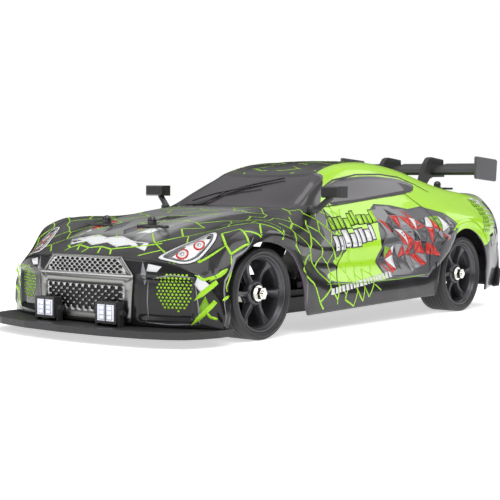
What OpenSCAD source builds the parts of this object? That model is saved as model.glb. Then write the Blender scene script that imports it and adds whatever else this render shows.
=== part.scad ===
// Four-wheel-drive radio-controlled drift car, 1:10 touring-car proportions.
// +X is forward, +Y is the driver's left, +Z is up. The origin is on the ground,
// under the middle of the overall box. Millimetres.

/* [Overall] */
// Distance between the front and rear axles
wheelbase = 257; // [240:1:310]
// Distance from the splitter nose back to the front axle
front_overhang = 89.5; // [85:0.5:108]
// Distance from the rear axle back to the trailing edge of the wing plates
rear_overhang = 101.5; // [92:0.5:122]
// Width over the outer tyre faces
track_width = 188; // [180:1:226]
// Height of the chassis floor's lower face above the ground
ride_height = 7; // [5.5:0.5:8.5]

/* [Wheels] */
// Tyre outer diameter
tyre_d = 60; // [58:0.5:72]
// Tyre width
tyre_w = 26; // [22:0.5:32]
// Height of the tyre's section, from its seat on the rim to the tread
tyre_section = 5; // [4:0.5:6]
// Number of rim spokes
spoke_count = 6; // [5:1:7]
// Clearance of a running shaft in its hole, on the radius
running_gap = 0.08; // [0.05:0.01:0.1]

/* [Suspension] */
// Distance from the centre line to each arm's hinge axis
hinge_y = 22; // [21:0.5:27]
// Distance from each kingpin to the inner face of its tyre
kingpin_gap = 8; // [7:0.5:10]
// Room from the front gearbox case's rear face to the steering pins
steer_room = 5.5; // [5:0.5:8]

/* [Drive] */
// Teeth on the spur gear
spur_teeth = 54; // [48:1:64]
// Teeth on the motor pinion
pinion_teeth = 18; // [15:1:22]
// Module of the bevel gears
bevel_module = 0.8; // [0.7:0.01:0.96]
// Teeth on each bevel ring, an even number
ring_teeth = 30; // [26:2:36]
// Teeth on each bevel pinion
bevel_teeth = 12; // [10:1:14]
// Motor can diameter
motor_d = 36; // [30:1:43]
// Motor can length
motor_l = 50; // [42:1:50]

/* [Body shell] */
// Wall of the formed shell
shell_wall = 1.4; // [1:0.1:2]
// Gap between the tyre and the edge of the rear wheel arch
arch_gap = 6.5; // [5.5:0.5:8]
// Radius of a body post
post_r = 3; // [2.5:0.1:3.5]
// Thickness of the splitter
splitter_t = 4.5; // [3:0.1:6]
// Height of the splitter's lower face
splitter_z = 5.9; // [5:0.1:7]

/* [Wing] */
// Distance from the centre line to the outer face of each wing plate
wing_half_span = 70; // [58:1:85]
// Wing plate length
plate_l = 37; // [31:1:45]
// Wing plate height
plate_h = 19; // [17:0.5:23]
// Height of the wing plates' top corner
wing_top = 125.5; // [124:0.5:132]

/* [Hidden] */
$fn = 48;

front_x = (wheelbase + front_overhang + rear_overhang) / 2;
rear_x = -front_x;
front_axle_x = front_x - front_overhang;
rear_axle_x = front_axle_x - wheelbase;
axle_z = tyre_d / 2;
wheel_out = track_width / 2;
wheel_in = wheel_out - tyre_w;
rim_d = tyre_d - 2 * tyre_section;
kingpin_y = wheel_in - kingpin_gap;
plate_t = 3;
floor_z = ride_height + plate_t;

// Drive line
shaft_r = 2.5;
ring_r = bevel_module * ring_teeth / 2;
bevel_r = bevel_module * bevel_teeth / 2;
case_wall = 2;
case_half_x = ring_r + 4.5;
case_half_y = 16;
tower_half_w = case_half_y - 3;
case_half_z = ring_r + 4.5;
steer_arm = case_half_x + steer_room;
cup_r = 5;
cup_bore = 3.6;
ball_r = 3;
drive_pin_r = 0.9;
slot_w = 3;
motor_gap = 1.1;
motor_y = shaft_r + motor_gap + motor_d / 2;
spur_module = 2 * motor_y / (spur_teeth + pinion_teeth);
spur_x = rear_axle_x + 98.5;
gear_face = 6;
motor_x = spur_x - gear_face / 2 - 6;

// Suspension, measured from the axle's centre at the car's centre line
leg_in = 11.3;
leg_out = 15.7;
lug_t = 2.4;
trunnion_r = 1.5;
tower_t = 3;
eye_w = 5;
eye_gap = 0.3;
shock_off = case_half_x + tower_t + eye_w / 2 + eye_gap + 1.7;
shock_top = [30, 31];
shock_foot = [kingpin_y - 13, -10];
shock_len = norm(shock_top - shock_foot);
shock_tilt = atan2(shock_foot[0] - shock_top[0], shock_top[1] - shock_foot[1]);
hub_out = kingpin_y + 4;

// Steering: the slide rack and its guide
rack_gap = 0.6;
rack_up = 10;
hex_y = wheel_out - 20;
hex_t = 5;
hex_af = 12;
thread_r = 2;
nut_y = wheel_out - 5.5;

// ---------------------------------------------------------------- helpers
module bar_x(x0, x1, r) translate([x0, 0, 0]) rotate([0, 90, 0]) cylinder(h = x1 - x0, r = r);
module bar_y(y0, y1, r) translate([0, y0, 0]) rotate([-90, 0, 0]) cylinder(h = y1 - y0, r = r);
module bar_z(z0, z1, r) translate([0, 0, z0]) cylinder(h = z1 - z0, r = r);
module span(lo, hi) translate(lo) cube(hi - lo);
module hex_y_bar(y0, y1, af) translate([0, y0, 0]) rotate([-90, 0, 0])
    cylinder(h = y1 - y0, r = af / sqrt(3), $fn = 6);

// A corner's own frame: the axle's centre on the centre line, +X to the nearer bumper, +Y outboard
module at_corner(e, s) translate([e > 0 ? front_axle_x : rear_axle_x, 0, axle_z])
    mirror([e > 0 ? 0 : 1, 0, 0]) mirror([0, s > 0 ? 0 : 1, 0]) children();

// Smooth curve through [x, value] pairs
function seg(t, x, i = 0) = (i >= len(t) - 2 || x < t[i + 1][0]) ? i : seg(t, x, i + 1);
function rise(t, i) = let(a = max(i - 1, 0), b = min(i + 1, len(t) - 1)) (t[b][1] - t[a][1]) / (t[b][0] - t[a][0]);
function smooth(t, x) = let(
    i = seg(t, x), h = t[i + 1][0] - t[i][0], u = min(1, max(0, (x - t[i][0]) / h)),
    m0 = rise(t, i) * h, m1 = rise(t, i + 1) * h)
    (2 * u ^ 3 - 3 * u ^ 2 + 1) * t[i][1] + (u ^ 3 - 2 * u ^ 2 + u) * m0
    + (3 * u ^ 2 - 2 * u ^ 3) * t[i + 1][1] + (u ^ 3 - u ^ 2) * m1;

// ---------------------------------------------------------------- body shell surface
// Stations run along the car; each table gives one line of the body over the station, [station, value].
// They describe the car with its axles at the stations below; `lay` moves a station to its place on this one.
line_front = 224;
line_front_axle = 134.5;
line_rear_axle = -122.5;
line_rear = -224;
line_half_w = 94;
line_arch_top = 66.5;
nose_s = 201;
tail_s = -204;
function lay(s) = s > line_front_axle
    ? front_axle_x + (s - line_front_axle) * front_overhang / (line_front - line_front_axle)
    : s < line_rear_axle ? rear_axle_x + (s - line_rear_axle) * rear_overhang / (line_rear_axle - line_rear)
    : rear_axle_x + (s - line_rear_axle) * wheelbase / (line_front_axle - line_rear_axle);
wide = wheel_out / line_half_w;
arch_r = tyre_d / 2 + arch_gap;
lift = axle_z + arch_r - line_arch_top;
function raised(z) = z + lift * min(1, max(0, (z - 15) / 45));
top_z = [[tail_s, 95], [-190, 94.5], [-172, 95.5], [-150, 102], [-120, 111.5], [-95, 116.5], [-65, 119.2],
         [-35, 118.6], [-5, 114], [13, 108.5], [40, 96], [62, 86], [72, 83.2], [90, 81.5], [120, 78],
         [145, 74.5], [165, 70], [182, 64], [195, 57.5], [nose_s, 54]];
rail_y = [[tail_s, 60], [-175, 58], [-150, 50], [-120, 47], [-60, 48], [0, 49], [13, 49.5], [57, 57], [80, 58],
          [120, 58], [160, 54], [185, 46], [nose_s, 38]];
rail_z = [[tail_s, 93], [-175, 93.5], [-150, 99], [-137, 103], [-105, 110.5], [-75, 114], [-50, 115], [-20, 113],
          [0, 109], [13, 105], [35, 94], [57, 82.5], [80, 79.5], [120, 75.5], [150, 70.5], [175, 64], [192, 57],
          [nose_s, 52.5]];
belt_y = [[tail_s, 74], [-175, 76], [-150, 75], [-120, 70], [-90, 66], [-40, 64], [10, 63], [45, 66], [70, 72],
          [100, 78], [125, 80], [150, 79], [165, 77], [175, 75], [182, 72.5], [190, 69], [nose_s, 63]];
belt_z = [[tail_s, 84], [-180, 89.5], [-160, 92], [-140, 93], [-115, 95], [-90, 95.5], [-40, 91.5], [0, 88],
          [30, 85], [55, 79], [80, 74.5], [100, 74.5], [120, 76], [135, 75.5], [150, 72.5], [165, 68.5],
          [175, 63.5], [182, 60], [190, 55.5], [nose_s, 50.5]];
side_y = [[tail_s, 84], [-185, 90], [-150, 94.5], [-122, 95.5], [-100, 94], [-80, 90], [-40, 86], [20, 85],
          [60, 87], [90, 92], [110, 95], [134, 96], [155, 96], [175, 94], [190, 90], [nose_s, 84]];
side_z = [[tail_s, 70], [-160, 75], [-122, 77], [-90, 73], [-40, 64], [20, 60], [60, 58], [90, 62], [120, 69],
          [134, 70], [150, 67.5], [162, 64.5], [170, 61], [176, 57], [182, 52.5], [190, 47.5], [nose_s, 42.5]];
waist_y = [[tail_s, 87], [-160, 96], [-122, 96.5], [-95, 95.5], [-70, 88], [-20, 85.5], [40, 85.5], [75, 88],
           [95, 94], [120, 96.5], [150, 96.5], [180, 96], [nose_s, 92]];
waist_z = [[tail_s, 50], [-122, 66], [-95, 56], [-40, 46], [40, 44], [80, 48], [110, 58], [134, 60], [170, 42],
           [nose_s, 32]];
sill_y = [[tail_s, 86], [-160, 96], [-122, 96.5], [-90, 94.5], [-60, 93], [50, 93], [85, 95], [134, 96.5],
          [nose_s, 95]];
sill_z = [[tail_s, 32], [-122, 38], [-85, 30], [50, 29], [80, 34], [134, 40], [nose_s, 22]];
hem_y = [[tail_s, 82], [-165, 93], [-122, 96], [-90, 94], [80, 94], [134, 96], [175, 96.5], [nose_s, 95.5]];
cap_z0 = splitter_z + splitter_t;
hem_z = [[tail_s, 16], [-165, 15], [-90, 15.5], [80, 12.5], [100, 12], [170, cap_z0], [nose_s, cap_z0]];

function section_points(s) = let(zt = smooth(top_z, s), yr = smooth(rail_y, s), zr = smooth(rail_z, s))
    [[0, zt], [yr * 0.55, zt - (zt - zr) * 0.2], [yr, zr], [smooth(belt_y, s), smooth(belt_z, s)],
     [smooth(side_y, s), smooth(side_z, s)], [smooth(waist_y, s), smooth(waist_z, s)],
     [smooth(sill_y, s), smooth(sill_z, s)], [smooth(hem_y, s), smooth(hem_z, s)]];
function column(p, k) = [for (i = [0:len(p) - 1]) [i, p[i][k]]];
function on_section(p, t) = [smooth(column(p, 0), t), raised(smooth(column(p, 1), t))];

// The nose and the tail are bowed in plan
function ease(u) = let(v = min(1, max(0, u))) v * v * (3 - 2 * v);
function bowed(s, y) = s - 25 * ease((s - 128) / (nose_s - 128)) * (abs(y) / 96) ^ 2.6
    + 9 * ease((-150 - s) / (-150 - tail_s)) * (abs(y) / 90) ^ 3;
function station_at(x, y = 95, lo = tail_s, hi = nose_s, n = 14) = n == 0 ? (lo + hi) / 2 : let(m = (lo + hi) / 2)
    lay(bowed(m, y)) < x ? station_at(x, y, m, hi, n - 1) : station_at(x, y, lo, m, n - 1);

// Outlines of the arches about their axles, [distance ahead, height], on a 36.5 mm arch
line_arch_r = 36.5;
front_arch = [[-56, -60], [-50, -24], [-46, -13], [-42, -4], [-38.5, 7], [-30.5, 19.5], [-20, 27.5], [-9, 31.6], [4, 33.6],
              [15, 32.2], [24.6, 24.5], [31, 15.5], [34.2, 7.6], [36, -5], [37, -30], [38, -60]];
rear_arch = [[-39, -60], [-37.5, -22], [-36.2, -8], [-33, 12], [-25, 25], [-12, 33.6], [2, 36.5], [14, 34],
             [24, 27.5], [31, 19], [36, 10], [39.5, -3], [42, -16], [45, -60]];
function arch_z(t, d) = d <= t[0][0] || d >= t[len(t) - 1][0] ? 0
    : let(k = arch_r / line_arch_r) axle_z + k * smooth(t, d / k);
// Lower edge of the shell: the hem, raised over each wheel arch
function edge_z(s) = let(x = lay(bowed(s, 95)))
    max(raised(smooth(hem_z, s)), arch_z(front_arch, x - front_axle_x), arch_z(rear_arch, x - rear_axle_x));
function edge_t(p, z, lo = 4.02, hi = 7, n = 14) = n == 0 ? (lo + hi) / 2 : let(m = (lo + hi) / 2)
    on_section(p, m)[1] > z ? edge_t(p, z, m, hi, n - 1) : edge_t(p, z, lo, m, n - 1);

// Columns of the surface: fixed ones down to the widest line, then a few down to the lower edge
upper_cols = 11;
lower_cols = 4;
cols = upper_cols + lower_cols;
function column_t(c, te) = c <= upper_cols ? 4 * c / upper_cols : 4 + (te - 4) * (c - upper_cols) / lower_cols;
function arch_steps(u) = [for (v = u) v * arch_r / line_arch_r];
front_steps = arch_steps([-54, -50, -46, -42, -38.5, -34.5, -30.5, -20, -9, 4, 15, 24.6, 31, 34.2, 36, 37, 40]);
rear_steps = arch_steps([-41, -38.2, -36.6, -33, -25, -12, 2, 14, 24, 31, 36, 39.5, 42, 44.5]);
stations = concat([tail_s, -194, -184, -174],
    [for (d = rear_steps) station_at(rear_axle_x + d)],
    [for (i = [0:9]) -66 + i * 14.8],
    [for (d = front_steps) station_at(front_axle_x + d)], [nose_s - 3.5, nose_s]);
function half_row(s) = let(p = section_points(s), te = edge_t(p, edge_z(s)))
    [for (c = [0:cols]) let(q = on_section(p, column_t(c, te))) [lay(bowed(s, q[0])), q[0] * wide, q[1]]];
function mirrored(row) = concat([for (c = [cols:-1:1]) [row[c][0], -row[c][1], row[c][2]]], row);

// The nose and tail faces drop from the end sections to the hem
cap_steps = 4;
function dropped(row, z1, bulge, u) = [for (q = row)
    [q[0] + bulge * sin(180 * u) * (1 - (q[1] / 100) ^ 2), q[1], q[2] + (min(z1, q[2]) - q[2]) * u]];
nose_row = mirrored(half_row(nose_s));
tail_row = mirrored(half_row(tail_s));
grid = concat([for (i = [cap_steps:-1:1]) dropped(tail_row, 16, -7, i / cap_steps)],
    [for (s = stations) mirrored(half_row(s))],
    [for (i = [1:cap_steps]) dropped(nose_row, cap_z0, 1.5, i / cap_steps)]);
grid_rows = len(grid);
grid_cols = 2 * cols + 1;

// Points at the ends of the nose and tail faces are one point, so they share an index
function cell(r, c) = let(end = c == 0 || c == grid_cols - 1)
    end && r < cap_steps ? cap_steps * grid_cols + c
    : end && r >= grid_rows - cap_steps ? (grid_rows - cap_steps - 1) * grid_cols + c
    : r * grid_cols + c;
function clamp_i(i, n) = min(max(i, 0), n - 1);
function normal_at(r, c) = let(
    a = grid[clamp_i(r + 1, grid_rows)][c] - grid[clamp_i(r - 1, grid_rows)][c],
    b = grid[r][clamp_i(c + 1, grid_cols)] - grid[r][clamp_i(c - 1, grid_cols)],
    n = cross(a, b)) n / max(norm(n), 1e-9);
outer_points = [for (r = [0:grid_rows - 1], c = [0:grid_cols - 1]) grid[r][c]];
inner_points = [for (r = [0:grid_rows - 1], c = [0:grid_cols - 1]) grid[r][c] - shell_wall * normal_at(r, c)];
function split(a, b, c, d) = [for (t = [[a, b, c], [a, c, d]]) if (t[0] != t[1] && t[1] != t[2] && t[0] != t[2]) t];
skin = [for (r = [0:grid_rows - 2], c = [0:grid_cols - 2])
    each split(cell(r, c), cell(r + 1, c), cell(r + 1, c + 1), cell(r, c + 1))];
rim_loop = concat([for (c = [0:grid_cols - 1]) cell(0, c)],
    [for (r = [cap_steps + 1:grid_rows - cap_steps - 2]) cell(r, grid_cols - 1)],
    [for (c = [grid_cols - 1:-1:0]) cell(grid_rows - 1, c)],
    [for (r = [grid_rows - cap_steps - 2:-1:cap_steps + 1]) cell(r, 0)]);
function shell_faces(n) = concat([for (t = skin) [t[0], t[2], t[1]]], [for (t = skin) t + [n, n, n]],
    [for (i = [0:len(rim_loop) - 1]) let(a = rim_loop[i], b = rim_loop[(i + 1) % len(rim_loop)])
        each [[a, b, b + n], [a, b + n, a + n]]]);

// Height of the shell's upper face at a place, and the station there
function deck_t(p, y, lo = 0, hi = 2, n = 14) = n == 0 ? (lo + hi) / 2 : let(m = (lo + hi) / 2)
    on_section(p, m)[0] < y ? deck_t(p, y, m, hi, n - 1) : deck_t(p, y, lo, m, n - 1);
function deck_z(x, y) = let(p = section_points(station_at(x, y)))
    on_section(p, deck_t(p, y / wide))[1];

front_post = [front_axle_x + case_half_x + 10, 21];
rear_post = [rear_axle_x - 60.5, 34.5];
front_post_top = 76 + lift;
rear_post_top = 102 + lift;
post_places = [for (s = [1, -1]) each [[front_post[0], s * front_post[1], front_post_top],
                                       [rear_post[0], s * rear_post[1], rear_post_top]]];

module body_shell() color("yellowgreen") difference() {
    polyhedron(points = concat(outer_points, inner_points), faces = shell_faces(len(outer_points)));
    for (p = post_places) translate([p[0], p[1], 0]) bar_z(p[2] - 20, p[2] + 10, post_r + 0.6);
}

// Plan of the splitter: a bowed nose, a crescent behind it, and an end beside each tyre
splitter_nose = [[0, 0], [35, -2], [64, -7.5], [80, -14], [88, -20], [93, -29], [96.5, -42], [96.5, -56.5]];
splitter_back = [[86, -56.5], [84, -47], [70, -40], [50, -31], [0, -31]];
module front_splitter() color([0.2, 0.2, 0.2]) translate([0, 0, splitter_z]) linear_extrude(splitter_t)
    polygon([for (s = [1, -1]) each let(q = concat(splitter_nose, splitter_back))
        [for (i = [0:len(q) - 1]) let(k = s > 0 ? i : len(q) - 1 - i)
            if (s > 0 || (k > 0 && k < len(q) - 1)) [front_x + q[k][1], s * q[k][0] * wide]]]);

// ---------------------------------------------------------------- wing, mirrors, lamps
plate_tilt = 3.4;
wing_front = [rear_x + plate_l, wing_top + lift];
module in_side_view(y0, y1) translate([0, y1, 0]) rotate([90, 0, 0]) linear_extrude(y1 - y0) children();
module wing_end_plates() color([0.35, 0.33, 0.35]) for (s = [1, -1])
    in_side_view(s > 0 ? wing_half_span - 2.2 : -wing_half_span, s > 0 ? wing_half_span : 2.2 - wing_half_span)
        translate(wing_front) polygon([[0, -1], [-1, 0], [-plate_l + 2, -2], [-plate_l, -3.5],
            [-plate_l + 1.5, -plate_h - 1], [-plate_l + 3, -plate_h - 2], [-1.5, -plate_h], [0, -plate_h + 1.5]]);
// Chord points of the blade from its leading edge, above and below
blade_top = [[-3, -13.5], [-6, -10.5], [-12, -8.2], [-20, -7], [-29, -5.2]];
blade_low = [[-29, -6.6], [-20, -9.8], [-12, -13.4], [-7, -15.6], [-4, -15.8]];
stay_y = 22;
stay_t = 4.5;
blade_cuts = [wing_half_span - 2.2, stay_y + stay_t / 2, stay_y - stay_t / 2];
module wing_blade() color([0.22, 0.22, 0.23]) for (c = [[-blade_cuts[0], -blade_cuts[1]],
    [-blade_cuts[2], blade_cuts[2]], [blade_cuts[1], blade_cuts[0]]])
    in_side_view(c[0], c[1]) translate(wing_front) polygon(concat(blade_top, blade_low));
// Swan necks, from the deck up and over the blade, whose sections end against them
stay_neck = [[15, -25], [10.5, -15], [5.5, -6], [1, -1.4], [-3, -0.1], [-23.5, -2], [-25.7, -17.2], [-13, -17.4],
             [-6, -17.6], [-1, -19], [3, -22.5], [5.5, -27]];
stay_foot = [18.5, 6.5];
stay_pad_gap = 0.15;
module wing_stays() color([0.25, 0.25, 0.26]) for (s = [1, -1])
    in_side_view(s * stay_y - stay_t / 2, s * stay_y + stay_t / 2) polygon(concat(
        [for (q = stay_neck) wing_front + q],
        [for (k = [1, 0.5, 0]) let(x = wing_front[0] + stay_foot[0] * (1 - k) + stay_foot[1] * k)
            [x, deck_z(x, stay_y) + stay_pad_gap]]));

mirror_at = [43, 84, 95];
mirror_elbow = [46, 72 * wide - mirror_at[1] * (wide - 1), 83];
mirror_foot = let(q = on_section(section_points(50), 3)) [50, q[0] * wide + 2.5 - mirror_at[1] * (wide - 1), q[1] - lift + 2.2];
module door_mirrors() color([0.15, 0.15, 0.15]) for (s = [1, -1]) scale_y(s)
    translate([lay(mirror_at[0]) - mirror_at[0], mirror_at[1] * (wide - 1), lift]) union() {
    translate(mirror_at) rotate([0, 0, -8]) hull() {
        span([-4, -9, -4], [3, 9, 4]);
        span([3, -7.5, -3], [5.5, 7.5, 3]);
    }
    hull() {
        translate(mirror_at + [0, -3, -4]) sphere(r = 2.2, $fn = 16);
        translate(mirror_elbow) sphere(r = 2.2, $fn = 16);
    }
    hull() {
        translate(mirror_elbow) sphere(r = 2.2, $fn = 16);
        translate(mirror_foot) sphere(r = 3.4, $fn = 16);
    }
}
module scale_y(s) mirror([0, s > 0 ? 0 : 1, 0]) children();

lamp_w = 18;
lamp_h = 13.5;
lamp_y = 28;
lamp_z = 19;
lamp_x = front_x - 13;
module lamp_housings() color([0.1, 0.1, 0.1]) for (s = [1, -1]) translate([lamp_x, s * lamp_y, lamp_z]) {
    difference() {
        union() {
            span([-7, -lamp_w / 2, -lamp_h / 2], [0, lamp_w / 2, lamp_h / 2]);
            for (k = [0:3]) span([-9, -lamp_w / 2 + 1.5 + 4.2 * k, -lamp_h / 2 + 1], [-7, -lamp_w / 2 + 3.5 + 4.2 * k, lamp_h / 2 - 1]);
        }
        span([-2, -lamp_w / 2 + 1.6, -lamp_h / 2 + 1.6], [1, lamp_w / 2 - 1.6, lamp_h / 2 - 1.6]);
    }
    for (t = [1, -1]) span([-6, t > 0 ? lamp_w / 2 : -lamp_w / 2 - 1.6, splitter_z + splitter_t - lamp_z],
                           [-2, t > 0 ? lamp_w / 2 + 1.6 : -lamp_w / 2, 2.5]);
    for (t = [1, -1]) translate([-4, t > 0 ? lamp_w / 2 + 1.6 : -lamp_w / 2 - 3.4, 0]) bar_y(0, 1.8, 1.9);
}
module lamp_lenses() color([0.85, 0.88, 0.95]) for (s = [1, -1]) translate([lamp_x, s * lamp_y, lamp_z])
    span([-1.9, -lamp_w / 2 + 1.7, -lamp_h / 2 + 1.7], [-0.3, lamp_w / 2 - 1.7, lamp_h / 2 - 1.7]);

// ---------------------------------------------------------------- body posts and clips
post_hole_drop = 4;
module body_posts() color([0.1, 0.1, 0.1]) for (p = post_places) translate([p[0], p[1], 0]) difference() {
    union() {
        bar_z(floor_z, p[2] - 1.5, post_r);
        translate([0, 0, p[2] - 1.5]) sphere(r = post_r);
        bar_z(floor_z, floor_z + 3, post_r + 3);
        bar_z(p[2] - 16, p[2] - 13, post_r + 2.4);
    }
    translate([0, 0, p[2] - post_hole_drop]) bar_y(-6, 6, clip_wire + 0.15);
    bar_z(p[2], p[2] + 4, 5);
    bar_z(floor_z - 1, floor_z + 3, screw_r + 0.02);
}
// An R-shaped wire clip: the straight leg through the post, the bent leg round it, and the loop
clip_wire = 0.6;
clip_bend = [[0, 13], [1.6, 15.5], [4.2, 15.8], [5.6, 13.5], [4.2, 10.5], [3.9, 6], [4.3, 3], [4.4, -3], [3.9, -6],
             [4.6, -9]];
module wire(a, b) hull() for (q = [a, b]) translate([q[0], q[1], 0]) sphere(r = clip_wire, $fn = 8);
module clip() union() {
    bar_y(-9, 13, clip_wire);
    for (i = [0:len(clip_bend) - 2]) wire(clip_bend[i], clip_bend[i + 1]);
}
module body_clips() color([0.12, 0.12, 0.12]) for (p = post_places)
    scale_y(p[1]) translate([p[0], abs(p[1]), p[2] - post_hole_drop]) clip();

// ---------------------------------------------------------------- chassis
tub_half_w = 42;
tub_outline = [[front_x - 34, 26], [front_x - 40, 32], [front_axle_x + 30, 32], [front_axle_x + 20, 28],
               [front_axle_x - 26, 28], [front_axle_x - 42, tub_half_w], [rear_axle_x + 42, tub_half_w],
               [rear_axle_x + 26, 28], [rear_axle_x - 20, 28], [rear_axle_x - 34, 40], [rear_axle_x - 66, 40],
               [rear_axle_x - 70, 34]];
mount_t = 3;
strap_hole_y = [-44, -3.5];
module tub_profile() polygon(concat(tub_outline,
    [for (i = [len(tub_outline) - 1:-1:0]) [tub_outline[i][0], -tub_outline[i][1]]]));
screw_places = concat([for (e = [1, -1], s = [1, -1], k = [1, -1])
    [(e > 0 ? front_axle_x : rear_axle_x) + k * 11, s * 11]], [for (s = [1, -1]) each [
        [front_post[0], s * front_post[1]], [rear_post[0], s * rear_post[1]]]]);
screw_r = 1.5;
module chassis_plate() color([0.13, 0.13, 0.14]) difference() {
    union() {
        translate([0, 0, ride_height]) linear_extrude(plate_t) tub_profile();
        // side ribs
        for (s = [1, -1]) span([rear_axle_x + 44, s > 0 ? tub_half_w - 2 : -tub_half_w, floor_z],
                               [front_axle_x - 44, s > 0 ? tub_half_w : 2 - tub_half_w, floor_z + 8]);
        // motor mount wall
        span([motor_x, 3, floor_z], [motor_x + mount_t, tub_half_w - 2, axle_z + 8]);
    }
    for (p = screw_places) translate([p[0], p[1], 0]) {
        bar_z(ride_height - 1, floor_z + 1, screw_r + 0.05);
        bar_z(ride_height - 1, ride_height + 1.6, 2.9);
    }
    translate([0, motor_y, axle_z]) {
        bar_x(motor_x - 1, motor_x + mount_t + 1, 6.6);
        for (k = [1, -1]) translate([0, 12.5 * k, 0]) bar_x(motor_x - 1, motor_x + mount_t + 1, 1.6);
    }
    translate([0, 0, axle_z]) bar_x(motor_x - 1, motor_x + mount_t + 1, shaft_r + 1.5);
    translate([0, motor_y, axle_z]) bar_x(motor_x - motor_l - 7, motor_x, motor_d / 2 + 0.3);
}

module front_bumper_foam() color([0.16, 0.16, 0.16]) difference() {
    hull() for (s = [1, -1]) {
        translate([front_x - 39, s * 36, 0]) bar_z(floor_z, 34, 5);
        translate([front_x - 45, s * 44, 0]) bar_z(floor_z, 34, 4);
    }
    span([front_x - 60, -34, 0], [front_x - 43, 34, 40]);
}

module screws() color("silver") {
    for (p = screw_places) translate([p[0], p[1], 0]) difference() {
        union() {
            bar_z(ride_height + 0.1, ride_height + 1.55, 2.75);
            bar_z(ride_height + 1.5, floor_z + 2.4, screw_r);
        }
        bar_z(ride_height, ride_height + 0.9, 1, $fn = 6);
    }
    translate([0, motor_y, axle_z]) for (k = [1, -1]) translate([0, 12.5 * k, 0]) {
        bar_x(motor_x + mount_t, motor_x + mount_t + 1.8, 2.7);
        bar_x(motor_x - 1.9, motor_x + mount_t, 1.5);
    }
}

// ---------------------------------------------------------------- electrics
cell_r = 8.4;
cell_pitch = 2 * cell_r + 0.1;
battery_lo = [-12, -38.7, floor_z];
battery_hi = [60, battery_lo[1] + cell_pitch + 2 * cell_r, floor_z + 2 * cell_r];
module battery_pack() color([0.2, 0.25, 0.5]) for (k = [0, 1])
    translate([0, battery_lo[1] + cell_r + k * cell_pitch, floor_z + cell_r]) bar_x(battery_lo[0], battery_hi[0], cell_r);
strap_x = 18;
strap_t = 0.95;
module battery_strap() color([0.1, 0.1, 0.1]) difference() {
    span([strap_x, battery_lo[1] - strap_t, floor_z], [strap_x + 14, battery_hi[1] + strap_t + 0.2, battery_hi[2] + strap_t]);
    span([strap_x - 1, battery_lo[1], floor_z - 1], [strap_x + 15, battery_hi[1] + 0.2, battery_hi[2]]);
}
module esc_receiver() color([0.2, 0.2, 0.22]) union() {
    span([-8, 8, floor_z], [42, 38, floor_z + 13]);
    for (k = [0:6]) span([-5, 11 + 3.6 * k, floor_z + 13], [18, 12.4 + 3.6 * k, floor_z + 18]);
}
servo_x = front_axle_x - 2 * steer_arm;
servo_y = 14;
servo_top = axle_z + rack_up - 2;
module steering_servo() color([0.12, 0.12, 0.13]) union() {
    span([servo_x - 23, servo_y - 7.5, floor_z], [servo_x + 8, servo_y + 7.5, servo_top - 2.4]);
    span([servo_x - 28, servo_y - 7.5, servo_top - 12], [servo_x + 12, servo_y + 7.5, servo_top - 10]);
    translate([servo_x, servo_y, 0]) {
        bar_z(servo_top - 2.5, servo_top - 0.6, 5);
        bar_z(servo_top - 0.6, servo_top + 5.2, 2);
    }
}
module servo_horn() color("white") translate([servo_x, servo_y, 0]) difference() {
    union() {
        bar_z(servo_top + 1, servo_top + 5, 4.2);
        span([0, -2.4, servo_top + 2.4], [steer_arm, 2.4, servo_top + 5]);
        translate([steer_arm, 0, 0]) {
            bar_z(servo_top + 2.4, servo_top + 5, 2.4);
            bar_z(servo_top - 2.2, servo_top + 5, 1.5);
        }
    }
    bar_z(servo_top, servo_top + 6, 2 + running_gap);
}
module motor_can() color("silver") translate([0, motor_y, axle_z]) difference() {
    union() {
        bar_x(motor_x - motor_l, motor_x, motor_d / 2);
        bar_x(motor_x - motor_l - 6, motor_x - motor_l, 8);
        bar_x(motor_x, motor_x + 2.5, 6.4);
    }
    bar_x(motor_x - motor_l - 4, motor_x + 3, 1.6 + running_gap);
    for (k = [1, -1]) translate([0, 12.5 * k, 0]) bar_x(motor_x - 2, motor_x + 1, 1.55);
}

// Leads, each one swept along round points that it follows
lead_r = 1.1;
lead_sides = 8;
motor_back = motor_x - motor_l;
motor_k = motor_d / 36;
function by_motor(x, y, z) = [x, motor_y + y * motor_k, axle_z + z * motor_k];
motor_lead = [[-8.1, 29, 20], [-9.8, 29, 20], [-14, 30, 26], by_motor(-20, 14, 16), by_motor(motor_x - 1, 17.5, 20),
              by_motor(motor_x - 27, 18.5, 19), by_motor(motor_back - 1, 17.5, 16), by_motor(motor_back - 9, 14.5, 9),
              by_motor(motor_back - 6, 12, 3), by_motor(motor_back - 1.8, 11, 2), by_motor(motor_back - 0.1, 11, 2)];
motor_lead_2 = [[-8.1, 19, 20], [-9.8, 19, 20], [-14, 20, 26], by_motor(-20, 0.5, 16), by_motor(motor_x - 1, 2.5, 22),
                by_motor(motor_x - 27, 2.5, 23), by_motor(motor_back - 1, -2.5, 20), by_motor(motor_back - 10, -8.5, 13),
                by_motor(motor_back - 7, -10.5, 6), by_motor(motor_back - 1.8, -10.5, 4),
                by_motor(motor_back - 0.1, -10.5, 4)];
battery_lead = [[60.15, -14, 18], [61.8, -14, 18], [68, -15, 20], [70, -8, axle_z + 4], [62, 2, axle_z + 10],
                [52, 10, axle_z + 4], [48, 22, 22], [43.8, 24, 17], [42.1, 24, 17]];
function curve_at(p, t) = [for (k = [0:2]) smooth([for (i = [0:len(p) - 1]) [i, p[i][k]]], t)];
function unit(v) = v / norm(v);
function ring_at(p, t) = let(c = curve_at(p, t),
    d = unit(curve_at(p, min(t + 0.05, len(p) - 1)) - curve_at(p, max(t - 0.05, 0))),
    u = unit(cross(d, [0.2, 0.1, 1])), v = cross(d, u))
    [for (i = [0:lead_sides - 1]) c + lead_r * (cos(360 * i / lead_sides) * u + sin(360 * i / lead_sides) * v)];
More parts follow.
